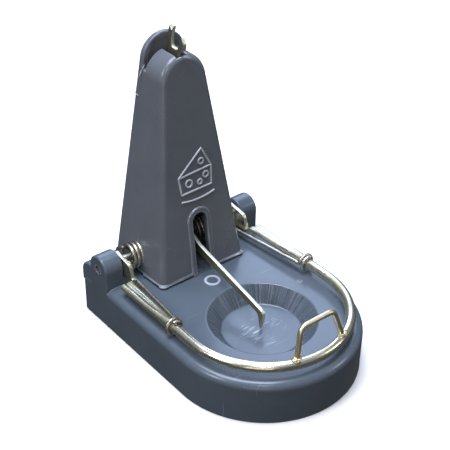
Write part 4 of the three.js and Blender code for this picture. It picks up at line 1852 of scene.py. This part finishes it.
class TRAP_OT_stage(bpy.types.Operator):
    """Build the floor, the soft lights and the camera"""

    bl_idname = "trap.stage"
    bl_label = "Stage"

    def execute(self, context):
        stage = context.scene.trap.stage
        disc = arc(0, 0, 3.0, 0, 360, 96)[:-1]
        floor = pillow("floor", disc, -0.02, 0, 0, along_z)
        material, tree, shader = new_material("Matt painted board", 0.7)
        coords = add_node(tree, "ShaderNodeTexCoord").outputs["Object"]
        tooth = add_node(
            tree,
            "ShaderNodeTexNoise",
            {"Vector": coords, "Scale": per_mm(60), "Detail": 3.0},
        )
        tone = add_node(
            tree,
            "ShaderNodeMix",
            {0: tooth.outputs["Fac"], 6: stage.floor_colour, 7: linear("#f8f3ed")},
            data_type="RGBA",
        )
        tree.links.new(tone.outputs[2], shader.inputs["Base Color"])
        floor.data.materials.append(material)

        # The floor is flagged off: it throws no light back up at the sides.
        floor.visible_diffuse = False
        floor.visible_glossy = False

        world = bpy.data.worlds.new("Soft sky")
        world.use_nodes = True
        tree = world.node_tree
        up = add_node(tree, "ShaderNodeTexCoord").outputs["Generated"]
        height = add_node(tree, "ShaderNodeSeparateXYZ", {0: up}).outputs["Z"]
        strength = add_node(
            tree,
            "ShaderNodeMapRange",
            {"Value": height, "From Min": 0.0, "From Max": 0.8, "To Min": 0.09, "To Max": 0.35},
        )
        sky = tree.nodes["Background"]
        sky.inputs["Color"].default_value = linear("#e6ebf4")
        tree.links.new(strength.outputs[0], sky.inputs["Strength"])
        context.scene.world = world
        middle = (0, 0, 0.04)
        area_light("key", (-0.95, 0.05, 0.74), middle, 0.3, stage.key_power, "#f4f6ff")
        area_light("overhead", (-0.1, 0.1, 1.08), middle, 0.65, stage.overhead_power, "#dde8ff")
        area_light("back", (0.8, 0.95, 0.98), middle, 1.0, stage.back_power, "#c4d8ff")
        area_light("camera_side", (-0.5, -0.68, 0.93), middle, 0.18, 1.3, "#ffffff")
        area_light("low_left", (-0.72, -0.78, 0.16), middle, 0.5, 1.1, "#fff8ea")
        area_light("front_right", (0.83, -0.65, 0.62), middle, 0.2, 1.8, "#ffffff")

        data = bpy.data.cameras.new("camera")
        data.lens = stage.lens
        data.sensor_width = 36
        camera = bpy.data.objects.new("camera", data)
        context.scene.collection.objects.link(camera)
        eye = Vector((-0.2238, -0.2635, 0.2906))
        aim = Vector((-0.0032, 0.0055, 0.0535))
        roll = math.radians(1.04)
        turn = (aim - eye).to_track_quat("-Z", "Y").to_matrix().to_4x4()
        camera.matrix_world = Matrix.Translation(eye) @ turn @ Matrix.Rotation(roll, 4, "Z")
        context.scene.camera = camera
        context.scene.view_settings.view_transform = "Standard"
        return {"FINISHED"}


class TRAP_PT_panel(bpy.types.Panel):
    """Lists the settings and the pieces in the sidebar"""

    bl_label = "Snap mouse trap"
    bl_idname = "TRAP_PT_panel"
    bl_space_type = "VIEW_3D"
    bl_region_type = "UI"
    bl_category = "Trap"

    def draw(self, context):
        settings = context.scene.trap
        for group in (
            settings.base, settings.tower, settings.wires, settings.finish, settings.stage
        ):
            box = self.layout.box()
            for name in group.bl_rna.properties.keys():
                if name not in ("rna_type", "name"):
                    box.prop(group, name)
        for operator in OPERATORS:
            self.layout.operator(operator.bl_idname)


OPERATORS = (
    TRAP_OT_base,
    TRAP_OT_tower,
    TRAP_OT_motif,
    TRAP_OT_pins,
    TRAP_OT_screws,
    TRAP_OT_striker,
    TRAP_OT_catch_loop,
    TRAP_OT_springs,
    TRAP_OT_trigger,
    TRAP_OT_stage,
)
CLASSES = (
    TrapBaseSettings,
    TrapTowerSettings,
    TrapWireSettings,
    TrapFinishSettings,
    TrapStageSettings,
    TrapSettings,
    *OPERATORS,
    TRAP_PT_panel,
)


def register():
    """Registers the classes and puts the settings on the scene."""
    for cls in CLASSES:
        bpy.utils.register_class(cls)
    bpy.types.Scene.trap = PointerProperty(type=TrapSettings)


def unregister():
    """Takes the settings and the classes away again."""
    del bpy.types.Scene.trap
    for cls in reversed(CLASSES):
        bpy.utils.unregister_class(cls)


def main():
    """Builds every piece."""
    register()
    bpy.ops.trap.base()
    bpy.ops.trap.tower()
    bpy.ops.trap.motif()
    bpy.ops.trap.pins()
    bpy.ops.trap.screws()
    bpy.ops.trap.striker()
    bpy.ops.trap.catch_loop()
    bpy.ops.trap.springs()
    bpy.ops.trap.trigger()
    bpy.ops.trap.stage()


if __name__ == "__main__":
    main()
